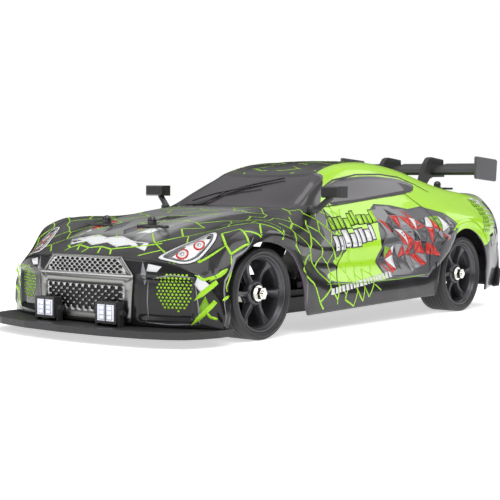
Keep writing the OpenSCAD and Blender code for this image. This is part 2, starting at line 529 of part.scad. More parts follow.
module lead(p) let(n = 3 * (len(p) - 1)) polyhedron(
    points = [for (i = [0:n]) each ring_at(p, i / 3)],
    faces = concat([[for (i = [0:lead_sides - 1]) i]],
        [[for (i = [lead_sides - 1:-1:0]) n * lead_sides + i]],
        [for (r = [0:n - 1], i = [0:lead_sides - 1]) let(a = r * lead_sides, j = (i + 1) % lead_sides)
            each [[a + i, a + lead_sides + i, a + lead_sides + j], [a + i, a + lead_sides + j, a + j]]]));
module cables() color("red") {
    lead(motor_lead);
    lead(motor_lead_2);
    lead(battery_lead);
}

// ---------------------------------------------------------------- gearboxes and towers
module gearbox_cases() color([0.16, 0.16, 0.17]) for (e = [1, -1])
    translate([e > 0 ? front_axle_x : rear_axle_x, 0, axle_z]) rotate([0, 0, e > 0 ? 0 : 180]) difference() {
        union() {
            span([-case_half_x, -case_half_y, -case_half_z], [case_half_x, case_half_y, case_half_z]);
            span([-14, -15, floor_z - axle_z], [14, 15, -case_half_z]);
            if (e > 0) span([-steer_arm - 5.3, -21, rack_up - 7], [-case_half_x + case_wall, 0.3, rack_up + 2]);
            for (s = [1, -1], k = [1, -1], o = [leg_in - eye_gap - lug_t, leg_out + eye_gap])
                span([k > 0 ? o : -o - lug_t, s > 0 ? tower_half_w + 0.05 : -hinge_y - 3.4, -3.4],
                     [k > 0 ? o + lug_t : -o, s > 0 ? hinge_y + 3.4 : -tower_half_w - 0.05, 3.4]);
        }
        span([-case_half_x + case_wall, -case_half_y + case_wall, -case_half_z + case_wall],
             [case_half_x - case_wall, case_half_y - case_wall, case_half_z - case_wall]);
        if (e > 0) span([-steer_arm - 3.3, -30, rack_up - 5.3], [-steer_arm + 1.3, 10, rack_up + 0.3]);
        bar_y(-20, 20, 3 + running_gap);
        bar_x(-case_half_x - 1, 0, shaft_r + running_gap);
        for (s = [1, -1]) translate([0, s * hinge_y, 0]) bar_x(-25, 25, trunnion_r + running_gap);
        for (s = [1, -1], k = [1, -1]) translate([k * 11, s * 11, 0]) bar_z(floor_z - axle_z - 1, floor_z - axle_z + 3.2, screw_r + 0.05);
    }

tower_x = case_half_x;
tower_side = [[tower_half_w, -6], [tower_half_w, 14], [20, 20], [35, 27], [35, 34.5], [27, 35], [12, 28]];
tower_outline = concat(tower_side, [for (i = [len(tower_side) - 1:-1:0]) [-tower_side[i][0], tower_side[i][1]]]);
module in_end_view(x0, x1) translate([x0, 0, 0]) rotate([90, 0, 90]) linear_extrude(x1 - x0) children();
module shock_towers() color([0.15, 0.15, 0.16]) for (e = [1, -1])
    translate([e > 0 ? front_axle_x : rear_axle_x, 0, axle_z]) rotate([0, 0, e > 0 ? 0 : 180]) {
        in_end_view(tower_x, tower_x + tower_t) polygon(tower_outline);
        for (s = [1, -1]) translate([0, s * shock_top[0], shock_top[1]]) {
            bar_x(tower_x + tower_t, shock_off + eye_w / 2 + eye_gap, trunnion_r);
            bar_x(tower_x + tower_t, shock_off - eye_w / 2 - eye_gap, 2.6);
            bar_x(shock_off + eye_w / 2 + eye_gap, shock_off + eye_w / 2 + 1.8, 2.8);
        }
    }

// ---------------------------------------------------------------- suspension arms and knuckles
module arm(e) difference() {
    union() {
        for (k = [1, -1]) {
            translate([0, hinge_y, 0]) bar_x(k > 0 ? leg_in : -leg_out, k > 0 ? leg_out : -leg_in, 3.2);
            translate([0, hinge_y, 0]) bar_x(k > 0 ? leg_in - eye_gap - lug_t : -leg_out - eye_gap - lug_t,
                                             k > 0 ? leg_out + eye_gap + lug_t : -leg_in + eye_gap + lug_t, trunnion_r);
            in_end_view(k > 0 ? leg_in : -leg_out, k > 0 ? leg_out : -leg_in)
                polygon([[hinge_y, -3.2], [hinge_y + 2, 3.2], [hinge_y + 10, 0], [kingpin_y - 17, -9],
                         [kingpin_y - 8, -9.5], [kingpin_y - 8, -13], [hinge_y + 10, -13]]);
        }
        span([-leg_out, hinge_y + 10, -13], [leg_out, kingpin_y - 8, -10]);
        translate([0, shock_foot[0], shock_foot[1]]) {
            bar_x(leg_out - 1, shock_off + eye_w / 2 + eye_gap, trunnion_r);
            bar_x(leg_out - 1, shock_off - eye_w / 2 - eye_gap, 2.6);
            bar_x(shock_off + eye_w / 2 + eye_gap, shock_off + eye_w / 2 + 1.6, 2.6);
        }
        if (e > 0) {
            span([-9, kingpin_y - 12, -16.5], [9, kingpin_y - 9, 16.5]);
            for (k = [1, -1]) span([-7, kingpin_y - 12, k > 0 ? 12.5 : -16.5], [7, kingpin_y, k > 0 ? 16.5 : -12.5]);
            for (k = [1, -1]) translate([0, kingpin_y, 0]) bar_z(k > 0 ? 12.5 : -16.5, k > 0 ? 16.5 : -12.5, 5);
        } else {
            span([-leg_out, kingpin_y - 9, -13], [leg_out, kingpin_y - 6, 2]);
            span([-9, kingpin_y - 9, -9], [9, hub_out, 9]);
        }
    }
    if (e > 0) {
        bar_y(kingpin_y - 13, kingpin_y - 8, 4.6);
        translate([0, kingpin_y, 0]) bar_z(-18, 18, 2 + running_gap);
    } else bar_y(kingpin_y - 10, hub_out + 1, shaft_r + running_gap);
}
module arm_at(e, s) color([0.14, 0.14, 0.15]) at_corner(e, s) arm(e);

module knuckle() difference() {
    union() {
        translate([0, kingpin_y, 0]) bar_z(-12.2, 12.2, 6.6);
        translate([0, kingpin_y, 0]) bar_z(-16.3, 16.3, 2);
        bar_y(kingpin_y, kingpin_y + 6.5, 7.6);
        span([-steer_arm, kingpin_y - 2.5, -8.5], [-4, kingpin_y + 2.5, -5.5]);
        translate([-steer_arm, kingpin_y, 0]) {
            bar_z(-8.5, -5.5, 3);
            bar_z(-8.5, 5, 1.5);
        }
    }
    bar_y(kingpin_y - 8, kingpin_y + 4.7, cup_r + 0.3);
    bar_y(kingpin_y, kingpin_y + 8, shaft_r + running_gap);
}
module knuckle_at(s) color([0.14, 0.14, 0.15]) at_corner(1, s) knuckle();

module pin_slot(y, z0, z1) translate([0, y, 0]) {
    for (k = [1, -1]) translate([k * 2.2, 0, 0]) bar_z(z0, z1, 1.5 + rack_gap);
    span([-2.2, -1.5 - rack_gap, z0], [2.2, 1.5 + rack_gap, z1]);
}
module slot_plate(y, z0, z1) span([-5.2, y - 3.7, z0], [5.2, y + 3.7, z1]);
module steering_rack() color([0.12, 0.12, 0.12]) translate([front_axle_x - steer_arm, 0, axle_z]) difference() {
    union() {
        span([-3, -34, rack_up - 5], [1, 34, rack_up]);
        slot_plate(servo_y, rack_up - 3, rack_up);
        for (s = [1, -1]) scale_y(s) {
            span([-3, 31, -1.2], [1, 34, rack_up]);
            span([-3, 31, -1.2], [1, kingpin_y, 1.3]);
            slot_plate(kingpin_y, -1.2, 1.3);
        }
    }
    for (s = [1, -1]) pin_slot(s * kingpin_y, -3, 3);
    pin_slot(servo_y, rack_up - 6, rack_up + 2);
}

// ---------------------------------------------------------------- shock absorbers
// Drawn upright with the top eye at the origin, then turned to its place
module shock_frame(e, s) at_corner(e, s) translate([shock_off, shock_top[0], shock_top[1]]) rotate([shock_tilt, 0, 0])
    children();
module eye(r) difference() {
    bar_x(-eye_w / 2, eye_w / 2, 3.4);
    bar_x(-eye_w, eye_w, r);
}
module shock_body_at(e, s) color([0.3, 0.3, 0.32]) shock_frame(e, s) {
    difference() {
        union() {
            eye(trunnion_r + running_gap);
            bar_z(-7, -2.8, 4.2);
            bar_z(-22, -7, 3.4);
        }
        bar_x(-eye_w, eye_w, trunnion_r + running_gap);
        bar_z(-23, -12, 1 + running_gap);
        bar_z(-20, -12, 2.4);
    }
}
module shock_rod_at(e, s) color("silver") shock_frame(e, s) difference() {
    union() {
        bar_z(-shock_len + 2.8, -15, 1);
        bar_z(-17.5, -15.5, 2.2);
        translate([0, 0, -shock_len]) {
            bar_x(-eye_w / 2, eye_w / 2, 3.4);
            bar_z(0, 7, 2.2);
            bar_z(7, 8.6, 4.9);
        }
    }
    translate([0, 0, -shock_len]) bar_x(-eye_w, eye_w, trunnion_r + eye_gap);
}
coil_r = 4.3;
coil_wire = 0.5;
coil_turns = 5;
coil_steps = 14;
coil_sides = 6;
coil_lo = -shock_len + 8.65 + coil_wire;
coil_hi = -7.05 - coil_wire;
function coil_ring(i) = let(a = 360 * i / coil_steps, n = coil_turns * coil_steps,
    c = [coil_r * cos(a), coil_r * sin(a), coil_lo + (coil_hi - coil_lo) * i / n])
    [for (k = [0:coil_sides - 1]) let(b = 360 * k / coil_sides)
        c + coil_wire * (cos(b) * [cos(a), sin(a), 0] + sin(b) * [0, 0, 1])];
module coil() let(n = coil_turns * coil_steps) polyhedron(
    points = [for (i = [0:n]) each coil_ring(i)],
    faces = concat([[for (i = [coil_sides - 1:-1:0]) i]], [[for (i = [0:coil_sides - 1]) n * coil_sides + i]],
        [for (r = [0:n - 1], i = [0:coil_sides - 1]) let(a = r * coil_sides, j = (i + 1) % coil_sides)
            each [[a + i, a + coil_sides + j, a + coil_sides + i], [a + i, a + j, a + coil_sides + j]]]));
module shock_spring_at(e, s) color("gold") shock_frame(e, s) coil();

// ---------------------------------------------------------------- drive line
// Spur teeth are involutes, thinned a little for backlash
pressure = 20;
function inv_deg(a) = tan(a) * 180 / PI - a;
function flank(m, z, u) = let(rp = m * z / 2, rb = rp * cos(pressure), ra = rp + 0.95 * m,
    r = max(rb, rp - 1.1 * m) + (ra - max(rb, rp - 1.1 * m)) * u, a = acos(min(1, rb / r)))
    [r, 90 / z - 2.4 / z - (inv_deg(a) - inv_deg(pressure))];
function gear_points(m, z) = let(root = m * z / 2 - 1.25 * m, foot = flank(m, z, 0)[1] + 22 / z)
    [for (k = [0:z - 1]) each let(c = 360 * k / z) concat([[root * cos(c - foot), root * sin(c - foot)]],
    [for (i = [0:4]) let(f = flank(m, z, i / 4)) [f[0] * cos(c - f[1]), f[0] * sin(c - f[1])]],
    [for (i = [4:-1:0]) let(f = flank(m, z, i / 4)) [f[0] * cos(c + f[1]), f[0] * sin(c + f[1])]],
    [[root * cos(c + foot), root * sin(c + foot)]])];
// A straight bevel: trapezoid teeth drawn at the wide end and tapered towards the apex
function bevel_points(m, z, apex) = let(rp = m * z / 2, lean = cos(atan2(rp, apex))) [for (k = [0:z - 1])
    each let(c = 360 * k / z, w = 360 / z)
        [for (q = [[-1.05, -0.34], [0.75, -0.13], [0.75, 0.13], [-1.05, 0.34]])
            (rp + q[0] * m / lean) * [cos(c + q[1] * w), sin(c + q[1] * w)]]];
module bevel(m, z, apex) linear_extrude(apex * bevel_face, scale = 1 - bevel_face)
    polygon(bevel_points(m, z, apex));

module gear_slice(y0, y1, m, z, turn) translate([y0, 0, 0]) rotate([0, 90, 0]) rotate([0, 0, turn])
    linear_extrude(y1 - y0) polygon(gear_points(m, z));

bevel_face = 0.32;
module centre_shaft() color("silver") translate([0, 0, axle_z]) {
    bar_x(rear_axle_x + ring_r * (1 - bevel_face) - 1, front_axle_x - ring_r * (1 - bevel_face) + 1, shaft_r);
    for (e = [1, -1]) translate([e > 0 ? front_axle_x : rear_axle_x, 0, 0]) rotate([0, 0, e > 0 ? 0 : 180])
        difference() {
            translate([-ring_r, 0, 0]) rotate([0, 90, 0]) rotate([0, 0, 90])
                bevel(bevel_module, bevel_teeth, ring_r);
            bar_x(-ring_r - 1, 0, shaft_r);
        }
}
module spur_gear() color("white") translate([0, 0, axle_z]) difference() {
    union() {
        gear_slice(spur_x - gear_face / 2, spur_x + gear_face / 2, spur_module, spur_teeth, 0);
        bar_x(spur_x + gear_face / 2, spur_x + gear_face / 2 + 4, 5);
    }
    bar_x(spur_x - 10, spur_x + 10, shaft_r);
}
// The slices put tooth 0 at -Z; the gears mesh at +Y on the spur and at -Y on the pinion
pinion_turn = 270 + (90 * spur_teeth - 180) / pinion_teeth;
module motor_pinion() color("silver") translate([0, motor_y, axle_z]) {
    difference() {
        gear_slice(spur_x - gear_face / 2 - 0.5, spur_x + gear_face / 2 + 0.5, spur_module, pinion_teeth,
                   pinion_turn);
        bar_x(spur_x - 10, spur_x + 10, 1.6);
    }
    bar_x(motor_x - motor_l - 3.5, spur_x + gear_face / 2 + 1, 1.6);
}
module cup() difference() {
    bar_y(-3.5, 4.4, cup_r);
    bar_y(-4, 3.4, cup_bore);
    span([-slot_w / 2, -4, -cup_r - 1], [slot_w / 2, 3.2, cup_r + 1]);
}
module spool() union() {
    bar_y(-hinge_y + 4, hinge_y - 4, 3);
    difference() {
        translate([0, bevel_r, 0]) rotate([90, 0, 0]) rotate([0, 0, 180 / ring_teeth])
            bevel(bevel_module, ring_teeth, bevel_r);
        bar_y(-10, 20, 2.5);
    }
    bar_y(bevel_r, bevel_r + 3, ring_r - 1.5);
    for (s = [1, -1]) scale_y(s) translate([0, hinge_y, 0]) rotate([0, 0, 180]) cup();
}
module spool_at(e) color("dimgray") translate([e > 0 ? front_axle_x : rear_axle_x, 0, axle_z])
    rotate([0, 0, e > 0 ? 0 : 180]) spool();

module ball_end(y, inward) translate([0, y, 0]) {
    sphere(r = ball_r);
    bar_z(-cup_r + 0.4, cup_r - 0.4, drive_pin_r);
}
module drive_shaft() union() {
    ball_end(hinge_y);
    ball_end(kingpin_y);
    bar_y(hinge_y, kingpin_y, 1.5);
    bar_y(hinge_y + 6, kingpin_y - 12, 2);
}
module drive_shaft_at(s) color("silver") at_corner(1, s) drive_shaft();

// Stub axle or half shaft, with the hex that drives the rim and the lock nut
module wheel_axle(e) {
    if (e > 0) union() {
        translate([0, kingpin_y, 0]) cup();
        bar_y(kingpin_y + 4, hex_y + hex_t, shaft_r);
        bar_y(hex_y, nut_y + 6.3, thread_r);
    } else union() {
        ball_end(hinge_y);
        bar_y(hinge_y, hinge_y + 8, 1.5);
        bar_y(hinge_y + 6, hex_y + hex_t, shaft_r);
        bar_y(hex_y, nut_y + 6.3, thread_r);
    }
    difference() {
        hex_y_bar(hex_y, hex_y + hex_t, hex_af);
        bar_y(hex_y - 1, hex_y + hex_t + 1, shaft_r + 0.02);
    }
    difference() {
        union() {
            bar_y(nut_y, nut_y + 1.2, 5.2);
            hex_y_bar(nut_y + 1.2, nut_y + 5, 7);
        }
        bar_y(nut_y - 1, nut_y + 6, thread_r + 0.02);
    }
}
module wheel_axle_at(e, s) color("silver") at_corner(e, s) wheel_axle(e);

rim_wall = 2.2;
rim_face = wheel_out - 1.6;
spoke_face = wheel_out - 4.5;
module rim() difference() {
    union() {
        rotate([-90, 0, 0]) rotate_extrude() polygon([
            [rim_d / 2, wheel_in + 1.5], [rim_d / 2, rim_face], [rim_d / 2 - 1.2, rim_face],
            [rim_d / 2 - rim_wall, rim_face - 2.2], [rim_d / 2 - rim_wall - 1, spoke_face - 4],
            [rim_d / 2 - rim_wall, spoke_face - 7], [rim_d / 2 - rim_wall, wheel_in + 1.5]]);
        bar_y(hex_y + 1, nut_y, 6.4);
        for (k = [0:spoke_count - 1]) rotate([0, 360 * k / spoke_count, 0])
            translate([0, spoke_face, 0]) rotate([90, 0, 0]) linear_extrude(5)
                polygon([[-2.6, 3], [-2, 10], [-1.2, 15], [-1.4, rim_d / 2 - rim_wall], [3.8, rim_d / 2 - rim_wall - 0.3],
                         [3.4, 15], [2.8, 10], [2.6, 3]]);
        bar_y(spoke_face - 7, spoke_face - 1, 8);
    }
    bar_y(wheel_in, wheel_out, thread_r + 0.05);
    hex_y_bar(hex_y - 1, hex_y + hex_t + 0.1, hex_af + 0.2);
    bar_y(nut_y - 0.05, wheel_out + 1, 6.2);
}
module rim_at(e, s) color([0.2, 0.2, 0.22]) at_corner(e, s) rim();

tread_round = 1.6;
module tyre() rotate([-90, 0, 0]) rotate_extrude() polygon([
    [rim_d / 2 + 0.02, wheel_in + 1.2], [rim_d / 2 + 1.5, wheel_in], [tyre_d / 2 - tread_round, wheel_in + 0.4],
    [tyre_d / 2 - 0.4, wheel_in + 1], [tyre_d / 2, wheel_in + 2.4], [tyre_d / 2, wheel_out - 2.4],
    [tyre_d / 2 - 0.4, wheel_out - 1], [tyre_d / 2 - tread_round, wheel_out - 0.4], [rim_d / 2 + 2.8, wheel_out],
    [rim_d / 2 + 1.2, wheel_out - 0.5], [rim_d / 2 + 0.02, wheel_out - 1.6]]);
module tyre_at(e, s) color([0.08, 0.08, 0.08]) at_corner(e, s) tyre();

chassis_plate();
gearbox_cases();
shock_towers();
front_bumper_foam();
battery_pack();
battery_strap();
steering_servo();
esc_receiver();
motor_can();
body_posts();
body_clips();
body_shell();
front_splitter();
wing_blade();
wing_end_plates();
wing_stays();
door_mirrors();
lamp_housings();
lamp_lenses();
screws();
cables();
steering_rack();
servo_horn();
centre_shaft();
spur_gear();
motor_pinion();
spool_at(1);  // front_spool
spool_at(-1);  // rear_spool
for (s = [1, -1]) {
    side = s > 0 ? "left" : "right";
    knuckle_at(s);
    drive_shaft_at(s);
    for (e = [1, -1]) {
        place = str(e > 0 ? "front_" : "rear_", side);
        arm_at(e, s);
        shock_body_at(e, s);
        shock_rod_at(e, s);
        shock_spring_at(e, s);
        tyre_at(e, s);
        rim_at(e, s);
        wheel_axle_at(e, s);
    }
}
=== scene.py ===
"""Radio-controlled drift car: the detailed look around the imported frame. Lengths in mm, scaled by MM."""
import math
import random

import bmesh
import bpy
import numpy as np
from mathutils import Matrix, Vector
from mathutils.geometry import delaunay_2d_cdt


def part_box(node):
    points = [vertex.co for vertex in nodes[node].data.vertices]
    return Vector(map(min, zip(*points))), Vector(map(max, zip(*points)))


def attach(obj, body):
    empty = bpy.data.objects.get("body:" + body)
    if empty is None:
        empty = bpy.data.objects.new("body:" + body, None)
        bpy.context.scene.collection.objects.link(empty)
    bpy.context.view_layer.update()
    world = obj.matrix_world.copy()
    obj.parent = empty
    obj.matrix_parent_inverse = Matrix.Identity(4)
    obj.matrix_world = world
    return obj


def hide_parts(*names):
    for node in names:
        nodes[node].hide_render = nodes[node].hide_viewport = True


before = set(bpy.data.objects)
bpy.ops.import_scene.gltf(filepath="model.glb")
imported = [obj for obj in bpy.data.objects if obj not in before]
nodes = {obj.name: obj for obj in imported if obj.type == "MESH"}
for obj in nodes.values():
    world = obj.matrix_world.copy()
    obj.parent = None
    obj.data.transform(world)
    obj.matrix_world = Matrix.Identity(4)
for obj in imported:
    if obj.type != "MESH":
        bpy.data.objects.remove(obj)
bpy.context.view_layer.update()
MM = 0.001

# ---------------------------------------- materials
BROAD_GRAIN = 14     # mottling is this many times coarser than the surface grain


def add_node(m, kind, **inputs):
    """Adds a shader node to a material or world; an input is a value or another node's output."""
    nt = m.node_tree
    node = nt.nodes.new("ShaderNode" + kind)
    for key, value in inputs.items():
        socket = node.inputs[int(key[1:]) if key[0] == "_" else key.replace("_", " ")]
        if isinstance(value, bpy.types.NodeSocket):
            nt.links.new(value, socket)
        else:
            socket.default_value = value
    return node


def blank(name):
    """A new material and its principled shader."""
    m = bpy.data.materials.new(name)
    m.use_nodes = True
    return m, m.node_tree.nodes["Principled BSDF"]


def blended(m, below, above, fac):
    """Mixes two colours; each is a plain colour or a node's output."""
    node = add_node(m, "Mix")
    node.data_type = "RGBA"
    for socket, value in ((node.inputs[6], below), (node.inputs[7], above), (node.inputs[0], fac)):
        if isinstance(value, tuple):
            socket.default_value = (*value, 1)
        else:
            m.node_tree.links.new(value, socket)
    return node.outputs[2]


def material(name, color, rough=0.4, metal=0.0, coat=0.0, vary=0.12, grain=900.0, bump=0.15, depth=0.05,
             rough_vary=0.08, spec=0.5, emit=0.0):
    """A moulded, painted or metal finish: mottled colour, uneven gloss and a fine surface grain."""
    m, p = blank(name)
    link = m.node_tree.links.new
    p.inputs["Metallic"].default_value = metal
    p.inputs["Specular IOR Level"].default_value = spec
    p.inputs["Coat Weight"].default_value = coat
    p.inputs["Coat Roughness"].default_value = 0.04
    place = add_node(m, "TexCoord").outputs["Object"]
    broad = add_node(m, "TexNoise", Scale=grain / BROAD_GRAIN, Detail=3, Vector=place).outputs["Fac"]
    fine = add_node(m, "TexNoise", Scale=grain, Detail=6, Vector=place).outputs["Fac"]
    tone = blended(m, tuple(c * (1 - vary) for c in color), tuple(min(1, c * (1 + vary)) for c in color),
                   broad)
    link(tone, p.inputs["Base Color"])
    gloss = add_node(m, "MapRange", Value=broad, To_Min=max(0.02, rough - rough_vary),
                     To_Max=min(1, rough + rough_vary))
    link(gloss.outputs[0], p.inputs["Roughness"])
    relief = add_node(m, "Bump", Strength=bump, Distance=depth * MM, Height=fine)
    link(relief.outputs[0], p.inputs["Normal"])
    if emit:
        link(tone, p.inputs["Emission Color"])
        p.inputs["Emission Strength"].default_value = emit
    return m


def brushed(name, color, axis, rough=0.28, metal=1.0):
    """Brushed metal: the grain is stretched along one axis."""
    m = material(name, color, rough=rough, metal=metal, vary=0.2, grain=500, bump=0.25, depth=0.03)
    nt = m.node_tree
    place = next(n for n in nt.nodes if n.type == "TEX_COORD")
    scale = [0.04 if i == axis else 1.5 for i in range(3)]
    stretch = add_node(m, "Mapping", Vector=place.outputs["Object"], Scale=scale)
    for t in [n for n in nt.nodes if n.type == "TEX_NOISE"]:
        nt.links.new(stretch.outputs[0], t.inputs["Vector"])
    return m


LIME = (0.40, 0.78, 0.015)
PAINT = dict(rough=0.25, coat=0.45, spec=0.25, vary=0.05, grain=300, bump=0.06, depth=0.02, rough_vary=0.03)
lime_paint = material("lime_paint", LIME, **PAINT)
white_paint = material("white_paint", (0.82, 0.83, 0.84), **PAINT)
red_paint = material("red_paint", (0.62, 0.03, 0.02), **PAINT)
grey_paint = material("grey_paint", (0.28, 0.28, 0.30), **PAINT)
ash_paint = material("ash_paint", (0.10, 0.10, 0.11), **PAINT)
black_paint = material("black_paint", (0.012, 0.012, 0.014), **PAINT)
moss_paint = material("moss_paint", (0.20, 0.42, 0.01), **PAINT)
satin_black = material("satin_black", (0.035, 0.035, 0.037), rough=0.42, vary=0.15)
satin_grey = material("satin_grey", (0.085, 0.085, 0.09), rough=0.38, vary=0.12)
deep_black = material("deep_black", (0.006, 0.006, 0.007), rough=0.5)
inner_coat = material("inner_coat", (0.02, 0.02, 0.022), rough=0.6)
film_edge = material("film_edge", (0.09, 0.05, 0.10), rough=0.2, coat=0.6)
rim_satin = material("rim_satin", (0.075, 0.075, 0.082), rough=0.3, metal=0.45, vary=0.1, grain=1400,
                     bump=0.08)
tyre_hard = material("tyre_hard", (0.028, 0.028, 0.029), rough=0.48, vary=0.2, grain=1600, bump=0.3,
                     depth=0.04)
nut_steel = material("nut_steel", (0.78, 0.77, 0.72), rough=0.18, metal=1.0, vary=0.08, grain=2000, bump=0.1)
grille_silver = material("grille_silver", (0.62, 0.62, 0.62), rough=0.3, metal=0.85, vary=0.06, grain=1500,
                         bump=0.1)
trim_brushed = brushed("trim_brushed", (0.30, 0.30, 0.29), 1, 0.36)
lamp_white = material("lamp_white", (0.86, 0.88, 0.96), rough=0.12, coat=0.5, vary=0.04, grain=700, emit=0.35)
lamp_chip = material("lamp_chip", (0.55, 0.58, 0.72), rough=0.15, coat=0.8, vary=0.1, grain=900)


# ---------------------------------------- shell surface, by the same rules as the solid
def smooth(table, x):
    """A smooth curve through the table's points."""
    t = np.asarray(table, float)
    x = np.asarray(x, float)
    n = len(t)
    lo, hi = np.maximum(np.arange(n) - 1, 0), np.minimum(np.arange(n) + 1, n - 1)
    slope = (t[hi, 1] - t[lo, 1]) / (t[hi, 0] - t[lo, 0])
    i = np.clip(np.searchsorted(t[:, 0], x, "right") - 1, 0, n - 2)
    h = t[i + 1, 0] - t[i, 0]
    u = np.clip((x - t[i, 0]) / h, 0, 1)
    return hermite(u, t[i, 1], t[i + 1, 1], slope[i] * h, slope[i + 1] * h)


def hermite(u, a, b, ma, mb):
    """Between a and b with slopes ma and mb."""
    return (2*u**3 - 3*u**2 + 1) * a + (u**3 - 2*u**2 + u) * ma + (3*u**2 - 2*u**3) * b + (u**3 - u**2) * mb


tail_s, nose_s, hem_front = -204, 201, 10.4
top_z = [[tail_s, 95], [-190, 94.5], [-172, 95.5], [-150, 102], [-120, 111.5], [-95, 116.5], [-65, 119.2],
         [-35, 118.6], [-5, 114], [13, 108.5], [40, 96], [62, 86], [72, 83.2], [90, 81.5], [120, 78],
         [145, 74.5], [165, 70], [182, 64], [195, 57.5], [nose_s, 54]]
rail_y = [[tail_s, 60], [-175, 58], [-150, 50], [-120, 47], [-60, 48], [0, 49], [13, 49.5], [57, 57],
          [80, 58], [120, 58], [160, 54], [185, 46], [nose_s, 38]]
rail_z = [[tail_s, 93], [-175, 93.5], [-150, 99], [-137, 103], [-105, 110.5], [-75, 114], [-50, 115],
          [-20, 113], [0, 109], [13, 105], [35, 94], [57, 82.5], [80, 79.5], [120, 75.5], [150, 70.5],
          [175, 64], [192, 57], [nose_s, 52.5]]
belt_y = [[tail_s, 74], [-175, 76], [-150, 75], [-120, 70], [-90, 66], [-40, 64], [10, 63], [45, 66],
          [70, 72],
          [100, 78], [125, 80], [150, 79], [165, 77], [175, 75], [182, 72.5], [190, 69], [nose_s, 63]]
belt_z = [[tail_s, 84], [-180, 89.5], [-160, 92], [-140, 93], [-115, 95], [-90, 95.5], [-40, 91.5], [0, 88],
          [30, 85], [55, 79], [80, 74.5], [100, 74.5], [120, 76], [135, 75.5], [150, 72.5], [165, 68.5],
          [175, 63.5], [182, 60], [190, 55.5], [nose_s, 50.5]]
side_y = [[tail_s, 84], [-185, 90], [-150, 94.5], [-122, 95.5], [-100, 94], [-80, 90], [-40, 86], [20, 85],
          [60, 87], [90, 92], [110, 95], [134, 96], [155, 96], [175, 94], [190, 90], [nose_s, 84]]
side_z = [[tail_s, 70], [-160, 75], [-122, 77], [-90, 73], [-40, 64], [20, 60], [60, 58], [90, 62], [120, 69],
          [134, 70], [150, 67.5], [162, 64.5], [170, 61], [176, 57], [182, 52.5], [190, 47.5], [nose_s, 42.5]]
waist_y = [[tail_s, 87], [-160, 96], [-122, 96.5], [-95, 95.5], [-70, 88], [-20, 85.5], [40, 85.5], [75, 88],
           [95, 94], [120, 96.5], [150, 96.5], [180, 96], [nose_s, 92]]
waist_z = [[tail_s, 50], [-122, 66], [-95, 56], [-40, 46], [40, 44], [80, 48], [110, 58], [134, 60],
           [170, 42], [nose_s, 32]]
sill_y = [[tail_s, 86], [-160, 96], [-122, 96.5], [-90, 94.5], [-60, 93], [50, 93], [85, 95], [134, 96.5],
          [nose_s, 95]]
sill_z = [[tail_s, 32], [-122, 38], [-85, 30], [50, 29], [80, 34], [134, 40], [nose_s, 22]]
hem_y = [[tail_s, 82], [-165, 93], [-122, 96], [-90, 94], [80, 94], [134, 96], [175, 96.5], [nose_s, 95.5]]
hem_z = [[tail_s, 16], [-165, 15], [-90, 15.5], [80, 12.5], [100, 12], [170, hem_front], [nose_s, hem_front]]
front_arch = [[-56, -60], [-50, -24], [-46, -13], [-42, -4], [-38.5, 7], [-30.5, 19.5], [-20, 27.5],
              [-9, 31.6], [4, 33.6], [15, 32.2], [24.6, 24.5], [31, 15.5], [34.2, 7.6], [36, -5], [37, -30],
              [38, -60]]
rear_arch = [[-39, -60], [-37.5, -22], [-36.2, -8], [-33, 12], [-25, 25], [-12, 33.6], [2, 36.5], [14, 34],
             [24, 27.5], [31, 19], [36, 10], [39.5, -3], [42, -16], [45, -60]]
FRONT_AXLE, REAR_AXLE, AXLE_Z = 134.5, -122.5, 30.0
SHELL_THICKNESS, FILM_HALF = 1.4, 0.03


def ease(u):
    """A soft step from 0 to 1."""
    v = np.clip(u, 0, 1)
    return v * v * (3 - 2 * v)


def bowed(s, y):
    """Where a station lies along the car: the nose and tail curve in towards the sides."""
    return (s - 25 * ease((s - 128) / 73) * (np.abs(y) / 96) ** 2.6
            + 9 * ease((-150 - s) / 54) * (np.abs(y) / 90) ** 3)


def section(s):
    """The eight points of the section at each station: their distances out and their heights."""
    zt, yr, zr = smooth(top_z, s), smooth(rail_y, s), smooth(rail_z, s)
    ys = [0 * zt, yr * 0.55, yr] + [smooth(t, s) for t in (belt_y, side_y, waist_y, sill_y, hem_y)]
    zs = [zt, zt - (zt - zr) * 0.2, zr] + [smooth(t, s) for t in (belt_z, side_z, waist_z, sill_z, hem_z)]
    return np.stack(ys, -1), np.stack(zs, -1)


def along(p, t):
    """A smooth curve through each row of p, at t from 0 to 7."""
    m = np.empty_like(p)
    m[:, 1:-1] = (p[:, 2:] - p[:, :-2]) / 2
    m[:, 0], m[:, -1] = p[:, 1] - p[:, 0], p[:, -1] - p[:, -2]
    i = np.clip(np.floor(t).astype(int), 0, 6)
    r = np.arange(len(p))
    return hermite(np.clip(t - i, 0, 1), p[r, i], p[r, i + 1], m[r, i], m[r, i + 1])


def skin(s, t):
    """Points of the smooth left half of the shell at station s and section place t."""
    s, t = np.broadcast_arrays(np.asarray(s, float), np.asarray(t, float))
    py, pz = section(s)
    y, z = along(py, t), along(pz, t)
    return np.stack([bowed(s, y), y, z], -1)


def edge_t(s):
    """Where the section meets the lower edge: the hem, raised over each wheel arch."""
    x = bowed(s, 95.0)
    z = smooth(hem_z, s)
    for table, axle in ((front_arch, FRONT_AXLE), (rear_arch, REAR_AXLE)):
        d = x - axle
        z = np.where((d > table[0][0]) & (d < table[-1][0]), np.maximum(z, AXLE_Z + smooth(table, d)), z)
    pz = section(s)[1]
    lo, hi = np.full(len(s), 4.02), np.full(len(s), 7.0)
    for _ in range(16):
        mid = (lo + hi) / 2
        above = along(pz, mid) > z
        lo, hi = np.where(above, mid, lo), np.where(above, hi, mid)
    return (lo + hi) / 2


